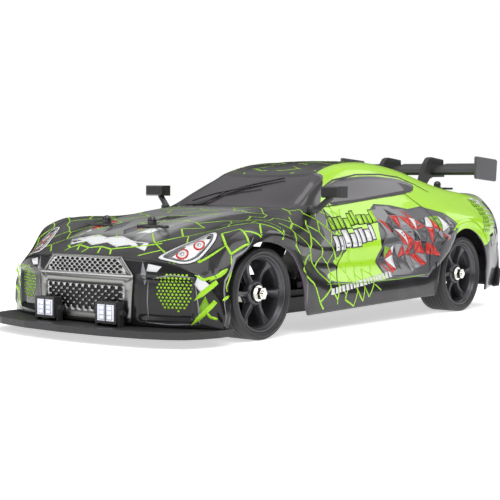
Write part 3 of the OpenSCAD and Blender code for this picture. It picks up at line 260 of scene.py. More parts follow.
# ---------------------------------------- outlines and distances
def rounded(points, n=8, closed=True):
    """A smooth curve through the points."""
    p = np.asarray(points, float)
    k = len(p)
    out = []
    for i in range(k if closed else k - 1):
        a, b, c, d = (p[(i + j) % k] if closed else p[min(max(i + j, 0), k - 1)] for j in (-1, 0, 1, 2))
        for u in np.arange(n) / n:
            out.append(hermite(u, b, c, (c - a) / 2, (d - b) / 2))
    if not closed:
        out.append(p[-1])
    return np.array(out)


def distance(poly, x, y):
    """Signed distance to a closed outline, negative inside."""
    p = np.asarray(poly, float)
    best = np.full(np.shape(x), 1e9)
    inside = np.zeros(np.shape(x), bool)
    for a, b in zip(p, np.roll(p, -1, 0)):
        e = b - a
        if (e ** 2).sum() < 1e-12:
            continue
        u = np.clip(((x - a[0]) * e[0] + (y - a[1]) * e[1]) / (e @ e), 0, 1)
        best = np.minimum(best, np.hypot(x - a[0] - u * e[0], y - a[1] - u * e[1]))
        if a[1] != b[1]:
            inside ^= ((a[1] > y) != (b[1] > y)) & (x < a[0] + (y - a[1]) / (b[1] - a[1]) * e[0])
    return np.where(inside, -best, best)


side_window = rounded([[15, 98], [4, 102], [-8, 104.8], [-28, 106.6], [-48, 107.2], [-70, 106.4],
                       [-84, 105.2], [-96, 102.2], [-102.5, 96.8], [-80, 94.2], [-48, 91.4], [-15, 88.4],
                       [6, 86.6], [18, 86], [18.5, 92]], 6)
windscreen = rounded([[51, -57], [62, -40], [69, -20], [71, 0], [69, 20], [62, 40], [51, 57], [30, 54.5],
                      [8, 49.5],
                      [13, 33], [16, 15], [16.8, 0], [16, -15], [13, -33], [8, -49.5], [30, -54.5]], 6)
back_window = rounded([[-92, -36], [-90, 0], [-92, 36], [-104, 38], [-130, 36], [-148, 32], [-152, 0],
                       [-148, -32], [-130, -36], [-104, -38]], 6)


def glass_distance(x, y, z, up):
    """Distance to the nearest window's outline over the surface."""
    a = np.abs(y)
    side = np.where((a > 48) & (up < 0.75), distance(side_window, x, z), 50)
    front = np.where((up > 0.3) & (a < 62), distance(windscreen, x, y), 50)
    rear = np.where((up > 0.3) & (a < 46), distance(back_window, x, y), 50)
    return np.minimum(np.minimum(side, front), rear)


def raised_by(p, n):
    """Moulded detail of the shell: recessed windows, hood bulge, flares, bumper pocket, tail lip."""
    x, y, z = p[..., 0], p[..., 1], p[..., 2]
    a = np.abs(y)
    out = -0.7 * ease(-glass_distance(x, y, z, n[..., 2]) / 1.4)
    on_hood = ease((x - 62) / 12) * ease((190 - x) / 10) * (n[..., 2] > 0.4)
    crease = smooth([[50, 47], [98, 41], [120, 37], [152, 34], [185, 26], [195, 24]], x)
    out = out + 1.5 * on_hood * ease((crease - a) / 5 + 0.3)
    for axle, r in ((FRONT_AXLE, 46.0), (REAR_AXLE, 44.0)):
        d = np.hypot(x - axle, z - AXLE_Z)
        out = out + 1.3 * ease((r - d) / 2.4) * ease((a - 80) / 8) * ease((z - 12) / 6)
    pocket = np.maximum(np.maximum(44 - a, a - 80), np.maximum(15 - z, z - (42.5 - 0.05 * (a - 44))))
    out = out - 2.2 * ease(-pocket / 2.2) * (x > 178)
    tail = np.maximum(np.maximum(a - 70, 24 - z), z - 44)
    out = out - 1.6 * ease(-tail / 2.5) * (x < -198)
    return out


def moulded(s, t):
    """Points of the shell's outer surface with its moulded detail, and the normals there."""
    d = 0.25
    s, t = np.broadcast_arrays(s, t)
    k = len(s)
    p = skin(np.concatenate([s, s + d, s - d, s, s]), np.concatenate([t, t, t, t + d / 30, t - d / 30]))
    p, a, b, c, e = (p[i * k:(i + 1) * k] for i in range(5))
    n = np.cross(a - b, c - e)
    n /= np.maximum(np.linalg.norm(n, axis=-1, keepdims=True), 1e-9)
    return p + raised_by(p, n)[..., None] * n, n


def nose_point(y, z):
    """The front face below the nose section."""
    y, z = np.asarray(y, float), np.asarray(z, float)
    t = np.interp(np.abs(y), along_nose[1], along_nose[0])
    top = np.interp(t, along_nose[0], along_nose[2])
    u = np.clip((top - z) / np.maximum(top - hem_front, 1e-6), 0, 1)
    x = bowed(nose_s, y) + 1.5 * np.sin(np.pi * u) * (1 - (y / 100) ** 2)
    p = np.stack([x, y, z], -1)
    n = np.zeros_like(p)
    n[:, 0] = 1
    return p + raised_by(p, n)[:, None] * n, n


nose_t = np.linspace(0, 7, 141)
nose_line = skin(np.full(141, float(nose_s)), nose_t)
along_nose = (nose_t, nose_line[:, 1], nose_line[:, 2])


def station_of(x, y):
    """The station of a point of the plan."""
    s = np.asarray(x, float).copy()
    for _ in range(8):
        s = s + (x - bowed(s, y))
    return np.clip(s, tail_s, nose_s)


def find_t(s, want, by, lo, hi):
    """Place on each section whose distance out (by 0) or height (by 1) is as wanted."""
    p = section(s)[by]
    lo, hi = np.full(len(s), float(lo)), np.full(len(s), float(hi))
    for _ in range(18):
        mid = (lo + hi) / 2
        before = along(p, mid) < want if by == 0 else along(p, mid) > want
        lo, hi = np.where(before, mid, lo), np.where(before, hi, mid)
    return (lo + hi) / 2


def from_side(q):
    """Points given by their place in the side view, on the left half of the shell."""
    q = np.asarray(q, float)
    y = np.full(len(q), 90.0)
    for _ in range(3):
        s = station_of(q[:, 0], y)
        t = find_t(s, q[:, 1], 1, 1.2, 7)
        y = skin(s, t)[:, 1]
    return moulded(s, t)


def from_above(q):
    """Points given by their place in the plan."""
    q = np.asarray(q, float)
    s = station_of(q[:, 0], q[:, 1])
    t = find_t(s, np.abs(q[:, 1]), 0, 0, 3.4)
    p, n = moulded(s, t)
    turn = np.sign(q[:, 1]) + (q[:, 1] == 0)
    p[:, 1] *= turn
    n[:, 1] *= turn
    return p, n


def from_corner(q):
    """Points given by station and height, which run evenly round the front corner."""
    q = np.asarray(q, float)
    s = np.minimum(q[:, 0], nose_s)
    return moulded(s, find_t(s, q[:, 1], 1, 1.2, 7))


def from_front(q):
    """Points given by their place in the front view, on the front face."""
    q = np.asarray(q, float)
    return nose_point(q[:, 0], q[:, 1])


def from_rear(q):
    """The rear face below the tail section, by side and height."""
    q = np.asarray(q, float)
    u = np.clip((85 - q[:, 1]) / 69, 0, 1)
    x = bowed(tail_s, q[:, 0]) - 7 * np.sin(np.pi * u) * (1 - (q[:, 0] / 100) ** 2)
    p = np.stack([x, q[:, 0], q[:, 1]], -1)
    n = np.zeros_like(p)
    n[:, 0] = -1
    return p + raised_by(p, n)[:, None] * n, n


arc_t = np.linspace(0, 7, 71)
arc_s = np.linspace(tail_s, nose_s, 136)
arc_rows = skin(np.repeat(arc_s, 71), np.tile(arc_t, 136)).reshape(136, 71, 3)
arc_length = np.concatenate([np.zeros((136, 1)),
                             np.cumsum(np.linalg.norm(np.diff(arc_rows[..., 1:], axis=1), axis=-1), 1)], 1)


def unrolled_place(q):
    """Station and section place of points given by station and length from the centre line."""
    q = np.asarray(q, float)
    s = np.clip(q[:, 0], tail_s + 1, nose_s - 1)
    g = (s - tail_s) / (arc_s[1] - arc_s[0])
    i = np.floor(g).astype(int)
    f = (g - i)[:, None]
    row = arc_length[i] * (1 - f) + arc_length[i + 1] * f
    k = np.clip((row < q[:, 1:2]).sum(1) - 1, 0, 69)
    r = np.arange(len(q))
    return s, arc_t[k] + 0.1 * np.clip((q[:, 1] - row[r, k]) / (row[r, k + 1] - row[r, k]), 0, 1)


def unrolled(q):
    """Points given by station and length along the section."""
    return moulded(*unrolled_place(q))


# ---------------------------------------- mesh helpers
def mesh_object(name, verts, faces, mats, shade=True, face_mats=None):
    me = bpy.data.meshes.new(name)
    me.from_pydata([tuple(float(c) * MM for c in v) for v in verts], [],
                   [tuple(int(i) for i in f) for f in faces])
    for m in mats if isinstance(mats, (list, tuple)) else [mats]:
        me.materials.append(m)
    if face_mats is not None:
        me.polygons.foreach_set("material_index", np.asarray(face_mats, np.int32))
    me.polygons.foreach_set("use_smooth", [shade] * len(me.polygons))
    me.validate()
    me.update()
    ob = bpy.data.objects.new(name, me)
    bpy.context.scene.collection.objects.link(ob)
    return ob


def modify(ob, kind, **settings):
    """Adds a modifier with these settings."""
    m = ob.modifiers.new(kind.title(), kind)
    for k, v in settings.items():
        setattr(m, k, v)
    return m


def settle(ob):
    """Applies the modifiers, so that the piece is a plain mesh."""
    bpy.context.view_layer.update()
    dg = bpy.context.evaluated_depsgraph_get()
    me = bpy.data.meshes.new_from_object(ob.evaluated_get(dg), depsgraph=dg)
    ob.modifiers.clear()
    ob.data = me
    return ob


class Build:
    """Gathers loose parts into one mesh."""

    def __init__(self):
        self.v, self.f, self.m = [], [], []

    def add(self, verts, faces, mat=0):
        k = len(self.v)
        self.v += [tuple(p) for p in verts]
        self.f += [tuple(i + k for i in f) for f in faces]
        self.m += [mat] * len(faces)
        return self

    def mirrored(self):
        """The same again on the right side."""
        k = len(self.v)
        self.v += [(x, -y, z) for x, y, z in self.v]
        self.f += [tuple(i + k for i in reversed(f)) for f in self.f]
        self.m += self.m
        return self

    def piece(self, name, mats, slot, *replaced, shade=True):
        """A piece fixed to the chassis."""
        ob = mesh_object(name, self.v, self.f, mats, shade, self.m)
        return done(fix_normals(ob), "chassis", slot, *replaced)


def filled(outline, h=2.5):
    """A plane outline meshed with points inside, so that it can follow a curved surface."""
    p = np.asarray(outline, float)
    edge = []
    for a, b in zip(p, np.roll(p, -1, 0)):
        k = max(1, int(np.ceil(np.linalg.norm(b - a) / h)))
        edge += [a + (b - a) * i / k for i in range(k)]
    edge = np.array(edge)
    lo, hi = p.min(0), p.max(0)
    gx, gy = np.meshgrid(np.arange(lo[0] + h / 2, hi[0], h), np.arange(lo[1] + h / 2, hi[1], h))
    g = np.stack([gx.ravel(), gy.ravel()], -1)
    g = g[distance(edge, g[:, 0], g[:, 1]) < -0.45 * h]
    pts = np.concatenate([edge, g]) if len(g) else edge
    ring = [(i, (i + 1) % len(edge)) for i in range(len(edge))]
    co, _, faces, *_ = delaunay_2d_cdt([Vector(q) for q in pts.tolist()], ring, [list(range(len(edge)))], 1,
                                       1e-5)
    co = np.array([list(c) for c in co])
    out = []
    for f in faces:
        a, b, c = co[f[0]], co[f[1]], co[f[2]]
        out.append(f if (b - a)[0] * (c - a)[1] - (b - a)[1] * (c - a)[0] > 0 else f[::-1])
    return co, out


def perforated(outline, holes, h=3.0):
    """A plane plate with holes in it."""
    edge = np.asarray(outline, float)
    loops, pts = [], []
    for ring in [edge] + list(holes):
        start = len(pts)
        ring = np.asarray(ring, float)
        for a, b in zip(ring, np.roll(ring, -1, 0)):
            k = max(1, int(np.ceil(np.linalg.norm(b - a) / h)))
            pts += [a + (b - a) * i / k for i in range(k)]
        loops.append(list(range(start, len(pts))))
    ties = [(a, b) for ring in loops for a, b in zip(ring, ring[1:] + ring[:1])]
    co, _, faces, *_ = delaunay_2d_cdt([Vector(q) for q in np.array(pts).tolist()], ties, loops[:1], 1, 1e-5)
    co = np.array([list(c) for c in co])
    out = []
    for f in faces:
        mid = co[list(f)].mean(0)
        near = [r for r in holes if abs(r[:, 0].mean() - mid[0]) < np.ptp(r[:, 0])]
        if any(distance(r, mid[0], mid[1]) < 0 for r in near):
            continue
        a, b, c = co[f[0]], co[f[1]], co[f[2]]
        out.append(f if (b - a)[0] * (c - a)[1] - (b - a)[1] * (c - a)[0] > 0 else f[::-1])
    return co, out


def oval(x, y, rx, ry, n=20, turn=0.0):
    """Points round an ellipse."""
    a = np.linspace(0, 2 * np.pi, n, endpoint=False) + turn
    return np.stack([x + rx * np.cos(a), y + ry * np.sin(a)], -1)


def ribbon(points, width, taper=(1, 1), h=2.0):
    """A strip along a plane polyline; its width may taper to its ends."""
    p = np.asarray(points, float)
    q = [p[0]]
    for a, b in zip(p[:-1], p[1:]):
        k = max(1, int(np.ceil(np.linalg.norm(b - a) / h)))
        q += [a + (b - a) * i / k for i in range(1, k + 1)]
    q = np.array(q)
    d = np.gradient(q, axis=0)
    d /= np.maximum(np.linalg.norm(d, axis=1, keepdims=True), 1e-9)
    side = np.stack([-d[:, 1], d[:, 0]], -1)
    u = np.linspace(0, 1, len(q))
    w = width / 2 * np.minimum(1, np.minimum(taper[0] + u * 3, taper[1] + (1 - u) * 3))
    verts = np.concatenate([q + side * w[:, None], q - side * w[:, None]])
    n = len(q)
    return verts, [(i, i + n, i + n + 1, i + 1) for i in range(n - 1)]


def laid(build, flat, place, lift, mat=0, flip=False, half=FILM_HALF):
    """Lays a plane mesh on the shell, as a film a twentieth of a millimetre thick or a thicker plate."""
    co, faces = flat
    p, normal = place(co)
    low, high = p + normal * (lift - half), p + normal * (lift + half)
    n = len(co)
    if flip:
        faces = [f[::-1] for f in faces]
    edges = {}
    for f in faces:
        for a, b in zip(f, f[1:] + f[:1]):
            edges[a, b] = edges.get((a, b), 0) + 1
    rim = [(a, b) for a, b in edges if (b, a) not in edges]
    top, under = [tuple(f) for f in faces], [tuple(i + n for i in f[::-1]) for f in faces]
    walls = [(b, a, a + n, b + n) for a, b in rim]
    build.add(np.concatenate([high, low]), top + under + walls, mat)


def lathe(profile, steps=96):
    """A closed profile of (radius, y) turned about the Y axis."""
    p = np.asarray(profile, float)
    n = len(p)
    turns = np.linspace(0, 2 * np.pi, steps, endpoint=False)
    v = [(r * math.cos(b), y, r * math.sin(b)) for b in turns for r, y in p]
    f = []
    for i in range(steps):
        j = (i + 1) % steps
        f += [(i * n + k, j * n + k, j * n + (k + 1) % n, i * n + (k + 1) % n) for k in range(n)]
    return v, f


def tube(points, r, sides=12):
    """A round bar along a space curve."""
    p = np.asarray(points, float)
    d = np.gradient(p, axis=0)
    d /= np.linalg.norm(d, axis=1, keepdims=True)
    u = np.cross(d[0], [0.31, 0.17, 0.93])
    v, n = [], len(p)
    for i in range(n):
        u = u - d[i] * (u @ d[i])
        u /= np.linalg.norm(u)
        w = np.cross(d[i], u)
        v += [p[i] + r * (math.cos(b) * u + math.sin(b) * w) for b in np.arange(sides) * 2 * np.pi / sides]
    f = [(i * sides + k, i * sides + (k + 1) % sides, (i + 1) * sides + (k + 1) % sides, (i + 1) * sides + k)
         for i in range(n - 1) for k in range(sides)]
    return v, f + [tuple(range(sides - 1, -1, -1)), tuple((n - 1) * sides + k for k in range(sides))]


def fix_normals(ob):
    """Turns every face outwards."""
    bm = bmesh.new()
    bm.from_mesh(ob.data)
    bmesh.ops.recalc_face_normals(bm, faces=bm.faces)
    bm.to_mesh(ob.data)
    bm.free()
    return ob


def done(ob, body, slot, *replaced):
    """Says which body a piece rides on and hides the nodes it stands for; its finish, slot, is not used."""
    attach(ob, body)
    if replaced:
        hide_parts(*replaced)
    return ob


# ---------------------------------------- shell
def lime_distance(x, y, z):
    """The lime area: from behind the front door edge over the rear quarter, and up onto the roof rails."""
    a = np.abs(y)
    area = rounded([[8, 130], [11, 106], [17, 99], [26, 90], [31, 84], [27, 74], [34, 67], [44, 60], [30, 54],
                    [46, 47], [40, 42], [58, 38], [50, 33], [0, 31], [-16, 33], [-19, 46], [-14, 58],
                    [-22, 72], [-40, 78], [-62, 77], [-78, 72], [-92, 70], [-104, 62], [-112, 50], [-150, 52],
                    [-178, 60], [-190, 76], [-200, 86], [-215, 100], [-215, 130]], 3)
    inner = smooth([[-204, 4], [-150, 8], [-130, 24], [-104, 37], [-60, 38.5], [0, 42], [20, 47]], x)
    return np.maximum(distance(area, x, z), inner - a)


def cell_values(x, y, z, seed):
    """A brightness for each crackle cell, the same all over one cell."""
    wander = 0.37 * np.sin(np.stack([z / 9, x / 11, x / 13], -1))
    c = np.floor(np.stack([x / 17, np.abs(y) / 15, z / 12], -1) + wander)
    v = np.sin(c @ np.array([12.9898, 78.233, 37.719]) + seed) * 43758.5453
    return v - np.floor(v)


def livery_and_hood_reflection():
    """The finish of the shell: printed colours, and a painted reflection that lightens the top of the hood,
    chosen by distances and values stored on its points.
    """
    m, p = blank("livery_and_hood_reflection")
    link = m.node_tree.links.new
    p.inputs["Roughness"].default_value = 0.3
    p.inputs["Specular IOR Level"].default_value = 0.22
    p.inputs["Coat Weight"].default_value = 0.45
    p.inputs["Coat Roughness"].default_value = 0.03

    def field(name):
        a = add_node(m, "Attribute")
        a.attribute_name = name
        return a.outputs["Fac"]

    def mask(name, soft=0.25):
        return add_node(m, "MapRange", Value=field(name), From_Min=soft, From_Max=-soft).outputs[0]

    place = add_node(m, "TexCoord").outputs["Object"]
    cloud = add_node(m, "TexNoise", Scale=22, Detail=5, Vector=place)
    cells = add_node(m, "ValToRGB", _0=field("cell"))
    dark, light = cells.color_ramp.elements
    dark.position, dark.color = 0.0, (0.009, 0.009, 0.010, 1)
    light.position, light.color = 1.0, (0.03, 0.03, 0.032, 1)
    deep_lime = (LIME[0] * 0.82, LIME[1] * 0.84, LIME[2])
    light_lime = (LIME[0] * 1.25, LIME[1] * 1.12, LIME[2] * 3)
    lime = blended(m, deep_lime, light_lime, cloud.outputs["Fac"])
    colour = blended(m, cells.outputs[0], lime, mask("lime"))
    # white print towards the tail, and a painted reflection that lightens the top of the hood to grey
    fade = add_node(m, "MapRange", Value=field("tail_white_and_hood_reflection"), From_Min=0.0, From_Max=1.0)
    colour = blended(m, colour, (0.62, 0.64, 0.62), fade.outputs[0])
    colour = blended(m, colour, (0.008, 0.008, 0.009), mask("dark"))
    colour = blended(m, colour, (0.036, 0.030, 0.038), mask("glass"))
    link(colour, p.inputs["Base Color"])
    peel = add_node(m, "TexNoise", Scale=260, Vector=place)
    relief = add_node(m, "Bump", Strength=0.08, Distance=0.03 * MM, Height=peel.outputs["Fac"])
    link(relief.outputs[0], p.inputs["Normal"])
    return m


def shell():
    """The body shell: the smooth skin raised by its moulded detail, closed to a thin film."""
    s = np.concatenate([np.arange(tail_s, nose_s, 1.35), [nose_s]]).astype(float)
    te = edge_t(s)
    upper, lower = 74, 30
    cols = upper + lower
    c = np.arange(cols + 1)
    t = np.where(c <= upper, 4.0 * c / upper, 4 + (te[:, None] - 4) * (c - upper) / lower)
    p = skin(np.repeat(s, cols + 1), t.ravel()).reshape(len(s), cols + 1, 3)
    full = np.concatenate([(p * [1, -1, 1])[:, :0:-1], p], 1)

    def dropped(row, z1, bulge, u):
        q = row.copy()
        q[:, 0] += bulge * math.sin(math.pi * u) * (1 - (q[:, 1] / 100) ** 2)
        q[:, 2] += (np.minimum(z1, q[:, 2]) - q[:, 2]) * u
        return q

    caps = 30
    grid = np.concatenate([[dropped(full[0], 16, -7, i / caps) for i in range(caps, 0, -1)], full,
                           [dropped(full[-1], hem_front, 1.5, i / caps) for i in range(1, caps + 1)]])
    du, dv = np.gradient(grid, axis=0), np.gradient(grid, axis=1)
    nrm = np.cross(du, dv)
    nrm /= np.maximum(np.linalg.norm(nrm, axis=-1, keepdims=True), 1e-9)
    x, y, z = grid[..., 0], grid[..., 1], grid[..., 2]
    outer = grid + raised_by(grid, nrm)[..., None] * nrm
    rows, width = grid.shape[:2]
    index = np.arange(rows * width).reshape(rows, width)
    index[:caps, [0, -1]] = index[caps, [0, -1]]
    index[rows - caps:, [0, -1]] = index[rows - caps - 1, [0, -1]]
    faces = []
    for r in range(rows - 1):
        a, b = index[r], index[r + 1]
        for k in range(width - 1):
            f = [a[k], b[k], b[k + 1], a[k + 1]]
            f = [q for i, q in enumerate(f) if q not in f[:i]]
            if len(f) > 2:
                faces.append(f)
    ob = mesh_object("shell_body", outer.reshape(-1, 3), faces, [livery_and_hood_reflection(), inner_coat, film_edge])
    up = nrm[..., 2]
    # the tail's white print, and on the hood a painted reflection that is lighter where the surface faces up
    on_tail = ease((-176 - x) / 22) * ease((z - 40) / 12) * 0.85
    on_hood = 0.4 * ease((x - 66) / 24) * ease((184 - x) / 8)
    on_hood = on_hood * ease((44 - np.abs(y)) / 9) * ease((up - 0.4) / 0.2)
    fields = {
        "lime": lime_distance(x, y, z),
        "glass": glass_distance(x, y, z, up),
        "tail_white_and_hood_reflection": on_tail + on_hood,
        "dark": np.minimum(np.maximum(np.maximum(44 - np.abs(y), z - 41), 175 - x),
                           np.maximum(x + 190, z - 52)),
        "cell": np.clip(0.15 + 0.75 * cell_values(x, y, z, 3.0) ** 2, 0, 1),
    }
    for name, value in fields.items():
        layer = ob.data.attributes.new(name, "FLOAT", "POINT")
        layer.data.foreach_set("value", np.asarray(value, np.float32).ravel())
    bm = bmesh.new()
    bm.from_mesh(ob.data)
    loose = [v for v in bm.verts if not v.link_faces]
    bmesh.ops.delete(bm, geom=loose, context="VERTS")
    bm.to_mesh(ob.data)
    bm.free()
    modify(ob, "SOLIDIFY", thickness=SHELL_THICKNESS * MM, offset=-1, material_offset=1,
           material_offset_rim=2)
    return done(settle(ob), "chassis", "painted_lexan", "body_shell")


shell()


# ---------------------------------------- printed crackle web
def web():
    """Irregular six-sided cells, drawn along their edges on the unrolled shell."""
    rng = random.Random(7)
    stretch = [[-16, -206], [-10, -120], [-6, -60], [-2, -8], [0, 16], [2, 40], [3.5, 62], [5, 92],
               [6.5, 124], [8, 158], [9.5, 190], [10.5, 214]]
    depth = [[-1, -8], [0, 4], [3, 52], [4, 64], [6, 86], [8, 112], [11, 150]]
    corners = {}

    def corner(i, j, k):
        if (i, j, k) not in corners:
            corners[i, j, k] = (i + (0.5 if j % 2 else 0) + rng.uniform(-0.2, 0.2),
                                j + (0.33 if k else 0) + rng.uniform(-0.13, 0.13))
        return corners[i, j, k]

    build = Build()
    for j in range(-1, 11):
        for i in range(-17, 12):
            shift = 1 if j % 2 else 0
            a, b = corner(i, j, 0), corner(i, j, 1)
            for p, q in ((a, b), (b, corner(i + shift - 1, j + 1, 0)), (b, corner(i + shift, j + 1, 0))):
                roll = rng.random(), rng.random(), rng.random()
                mix = [(p[0] + (q[0] - p[0]) * u, p[1] + (q[1] - p[1]) * u) for u in (0, 0.5, 1)]
                pts = [(float(smooth(stretch, gx)), float(smooth(depth, gy))) for gx, gy in mix]
                s0, t0 = unrolled_place(pts)
                if (t0 > edge_t(s0) - 0.04).any() or not (-100 < s0[1] < 197) or pts[1][1] < 3:
                    continue
                here, normal = moulded(s0, t0)
                x, y, z = here[1]
                if glass_distance(here[:, 0], here[:, 1], here[:, 2], normal[:, 2]).min() < 1.2:
                    continue
                inside = float(lime_distance(x, y, z))
                if inside < (-14 if x > -10 and z < 95 else -4) or x < 0 and z < 100 or x > 172 and z < 46:
                    continue
                on_side = t0[1] > 3.2
                if roll[0] > (0.97 if on_side else 0.62):
                    continue
                width = (1.4 if x > 60 else 1.1) if on_side else 1.0
                ends = (0.15 if roll[1] < 0.12 else 1, 0.15 if roll[2] < 0.12 else 1)
                laid(build, ribbon(pts, width * (0.8 + 0.45 * roll[1]), ends, 2.5), unrolled, 0.05, 0, True)
    return build.mirrored().piece("web_lines", [lime_paint], "painted_lexan")


web()


# ---------------------------------------- wheels
def wheel_parts():
    """Tyre and rim about the Y axis with the outer face towards +Y at 94 mm, as the left wheels sit."""
    out_y, in_y = 94.0, 68.0
    r = 30.0
    ring = [(25.05, in_y + 1.2), (26.4, in_y), (28.3, in_y + 0.3), (29.5, in_y + 1.0), (r, in_y + 2.4)]
    for k in range(1, 6):
        y = in_y + 2.4 + k * 3.53
        ring += [(r, y - 0.45), (r - 0.35, y - 0.3), (r - 0.35, y + 0.3), (r, y + 0.45)]
    ring += [(r, out_y - 2.4), (29.85, out_y - 1.6), (29.4, out_y - 0.9), (28.9, out_y - 0.5),
             (28.55, out_y - 0.42),
             (28.4, out_y - 0.62), (28.1, out_y - 0.62), (27.95, out_y - 0.3), (27.5, out_y - 0.05),
             (26.9, out_y - 0.02), (26.5, out_y - 0.12), (26.35, out_y - 0.4), (26.0, out_y - 0.45),
             (25.7, out_y - 0.75), (25.05, out_y - 1.6)]
    tyre = lathe(ring, 120)
    face = 92.4
    rim_ring = [(25, in_y + 1.5), (25, face - 0.3), (24.75, face), (23.9, face), (23.6, face - 0.25),
                (23.3, face - 1.5), (22.9, face - 2.0), (22.5, face - 2.3), (21.9, face - 4.0), (21.7, 85.6),
                (22.2, 83.5), (22.8, 82.0), (22.8, in_y + 1.5)]
    rim = Build()
    rim.add(*lathe(rim_ring, 120))
    hub = [(2.1, 82.5), (8.2, 82.5), (8.6, 83.2), (8.4, 86.6), (7.9, 87.6), (7.2, 88.2), (6.3, 88.2),
           (6.0, 87.6),
           (5.9, 86.7), (2.1, 86.7)]
    rim.add(*lathe(hub, 72))
    # each spoke is a tapered bar: narrow at the waist, flared at the rim, with a dished face
    stations = np.linspace(0, 1, 15)
    for k in range(6):
        turn = 2 * math.pi * k / 6
        rings = []
        for u in stations:
            rad = 7.2 + u * 15.2
            w = float(smooth([[0, 4.6], [0.15, 3.4], [0.45, 3.3], [0.75, 4.4], [0.92, 6.2], [1, 8.4]], u)) / 2
            top = float(smooth([[0, 87.6], [0.3, 86.9], [0.65, 87.3], [1, 89.2]], u))
            deep = float(smooth([[0, 83.2], [0.5, 83.0], [1, 84.2]], u))
            lean = 1.6 * u * u
            pts = [(-w + lean, deep), (-w + lean, top - 0.8), (-w * 0.78 + lean, top),
                   (-w * 0.3 + lean, top - 0.45),
                   (w * 0.3 + lean, top - 0.45), (w * 0.78 + lean, top), (w + lean, top - 0.8),
                   (w + lean, deep)]
            rings.append([(rad, a, b) for a, b in pts])
        c, d = math.cos(turn), math.sin(turn)
        v = [(rad * c - side * d, y, rad * d + side * c) for row in rings for rad, side, y in row]
        m = 8
        f = [(i * m + j, i * m + (j + 1) % m, (i + 1) * m + (j + 1) % m, (i + 1) * m + j)
             for i in range(len(stations) - 1) for j in range(m)]
        f += [tuple(range(m - 1, -1, -1)), tuple((len(stations) - 1) * m + j for j in range(m))]
        rim.add(v, f)
    return tyre, rim


tyre_data, rim_data = wheel_parts()
for end, axle in (("front", FRONT_AXLE), ("rear", REAR_AXLE)):
    for side, sign in (("left", 1), ("right", -1)):
        body = f"wheel_{end}_{side}"
        flip = -1 if end == "rear" else 1
        for kind, verts, faces, mat, slot in (("tyre", tyre_data[0], tyre_data[1], tyre_hard, "tyre_plastic"),
                                              ("rim", rim_data.v, rim_data.f, rim_satin, "rim_plastic")):
            placed = [(axle + flip * x, sign * y, AXLE_Z + z) for x, y, z in verts]
            ob = mesh_object(f"{kind}_{end}_{side}_detail", placed, faces, mat)
            fix_normals(ob)
            modify(ob, "EDGE_SPLIT", split_angle=math.radians(38))
            done(settle(ob), body, slot, f"{kind}_{end}_{side}")


# ---------------------------------------- printed shapes on the shell, and painted highlight lines
PRINTS = [lime_paint, white_paint, red_paint, grey_paint, ash_paint, black_paint, moss_paint, grille_silver]
lime, white, red, grey, ash, black, moss, silver = range(8)


def headlights():
    """Printed lamps: a white edge, a bright inside and two ringed lights."""
    build = Build()
    above = lambda outline, lift, mat: laid(build, filled(outline, 1.5), from_above, lift, mat)
    lens = rounded([[191.5, 55], [190, 64], [186, 71.5], [179, 76], [170, 77.6], [163, 77.2], [158.5, 74.5],
                    [158.4, 70.5], [165, 66.5], [174.5, 61], [184, 56]], 4)
    middle = lens.mean(0)
    above(middle + (lens - middle) * 1.06, 0.08, black)
    above(lens, 0.14, white)
    above(middle + (lens - middle) * [0.88, 0.84], 0.20, ash)
    above(middle + (lens - middle) * [0.80, 0.72], 0.25, silver)
    for x, y, r in ((181.5, 66, 4.2), (171, 70.8, 3.8)):
        above(oval(x, y, r, r), 0.31, red)
        above(oval(x, y, r * 0.68, r * 0.68), 0.37, white)
        above(oval(x, y, r * 0.36, r * 0.36), 0.43, silver)
    above(oval(163.4, 72.4, 1.5, 1.5), 0.31, black)
    above([[189, 58], [187.6, 62], [176, 64.5], [178, 61.6]], 0.31, ash)
    return build.mirrored().piece("headlight_prints", PRINTS, "painted_lexan")


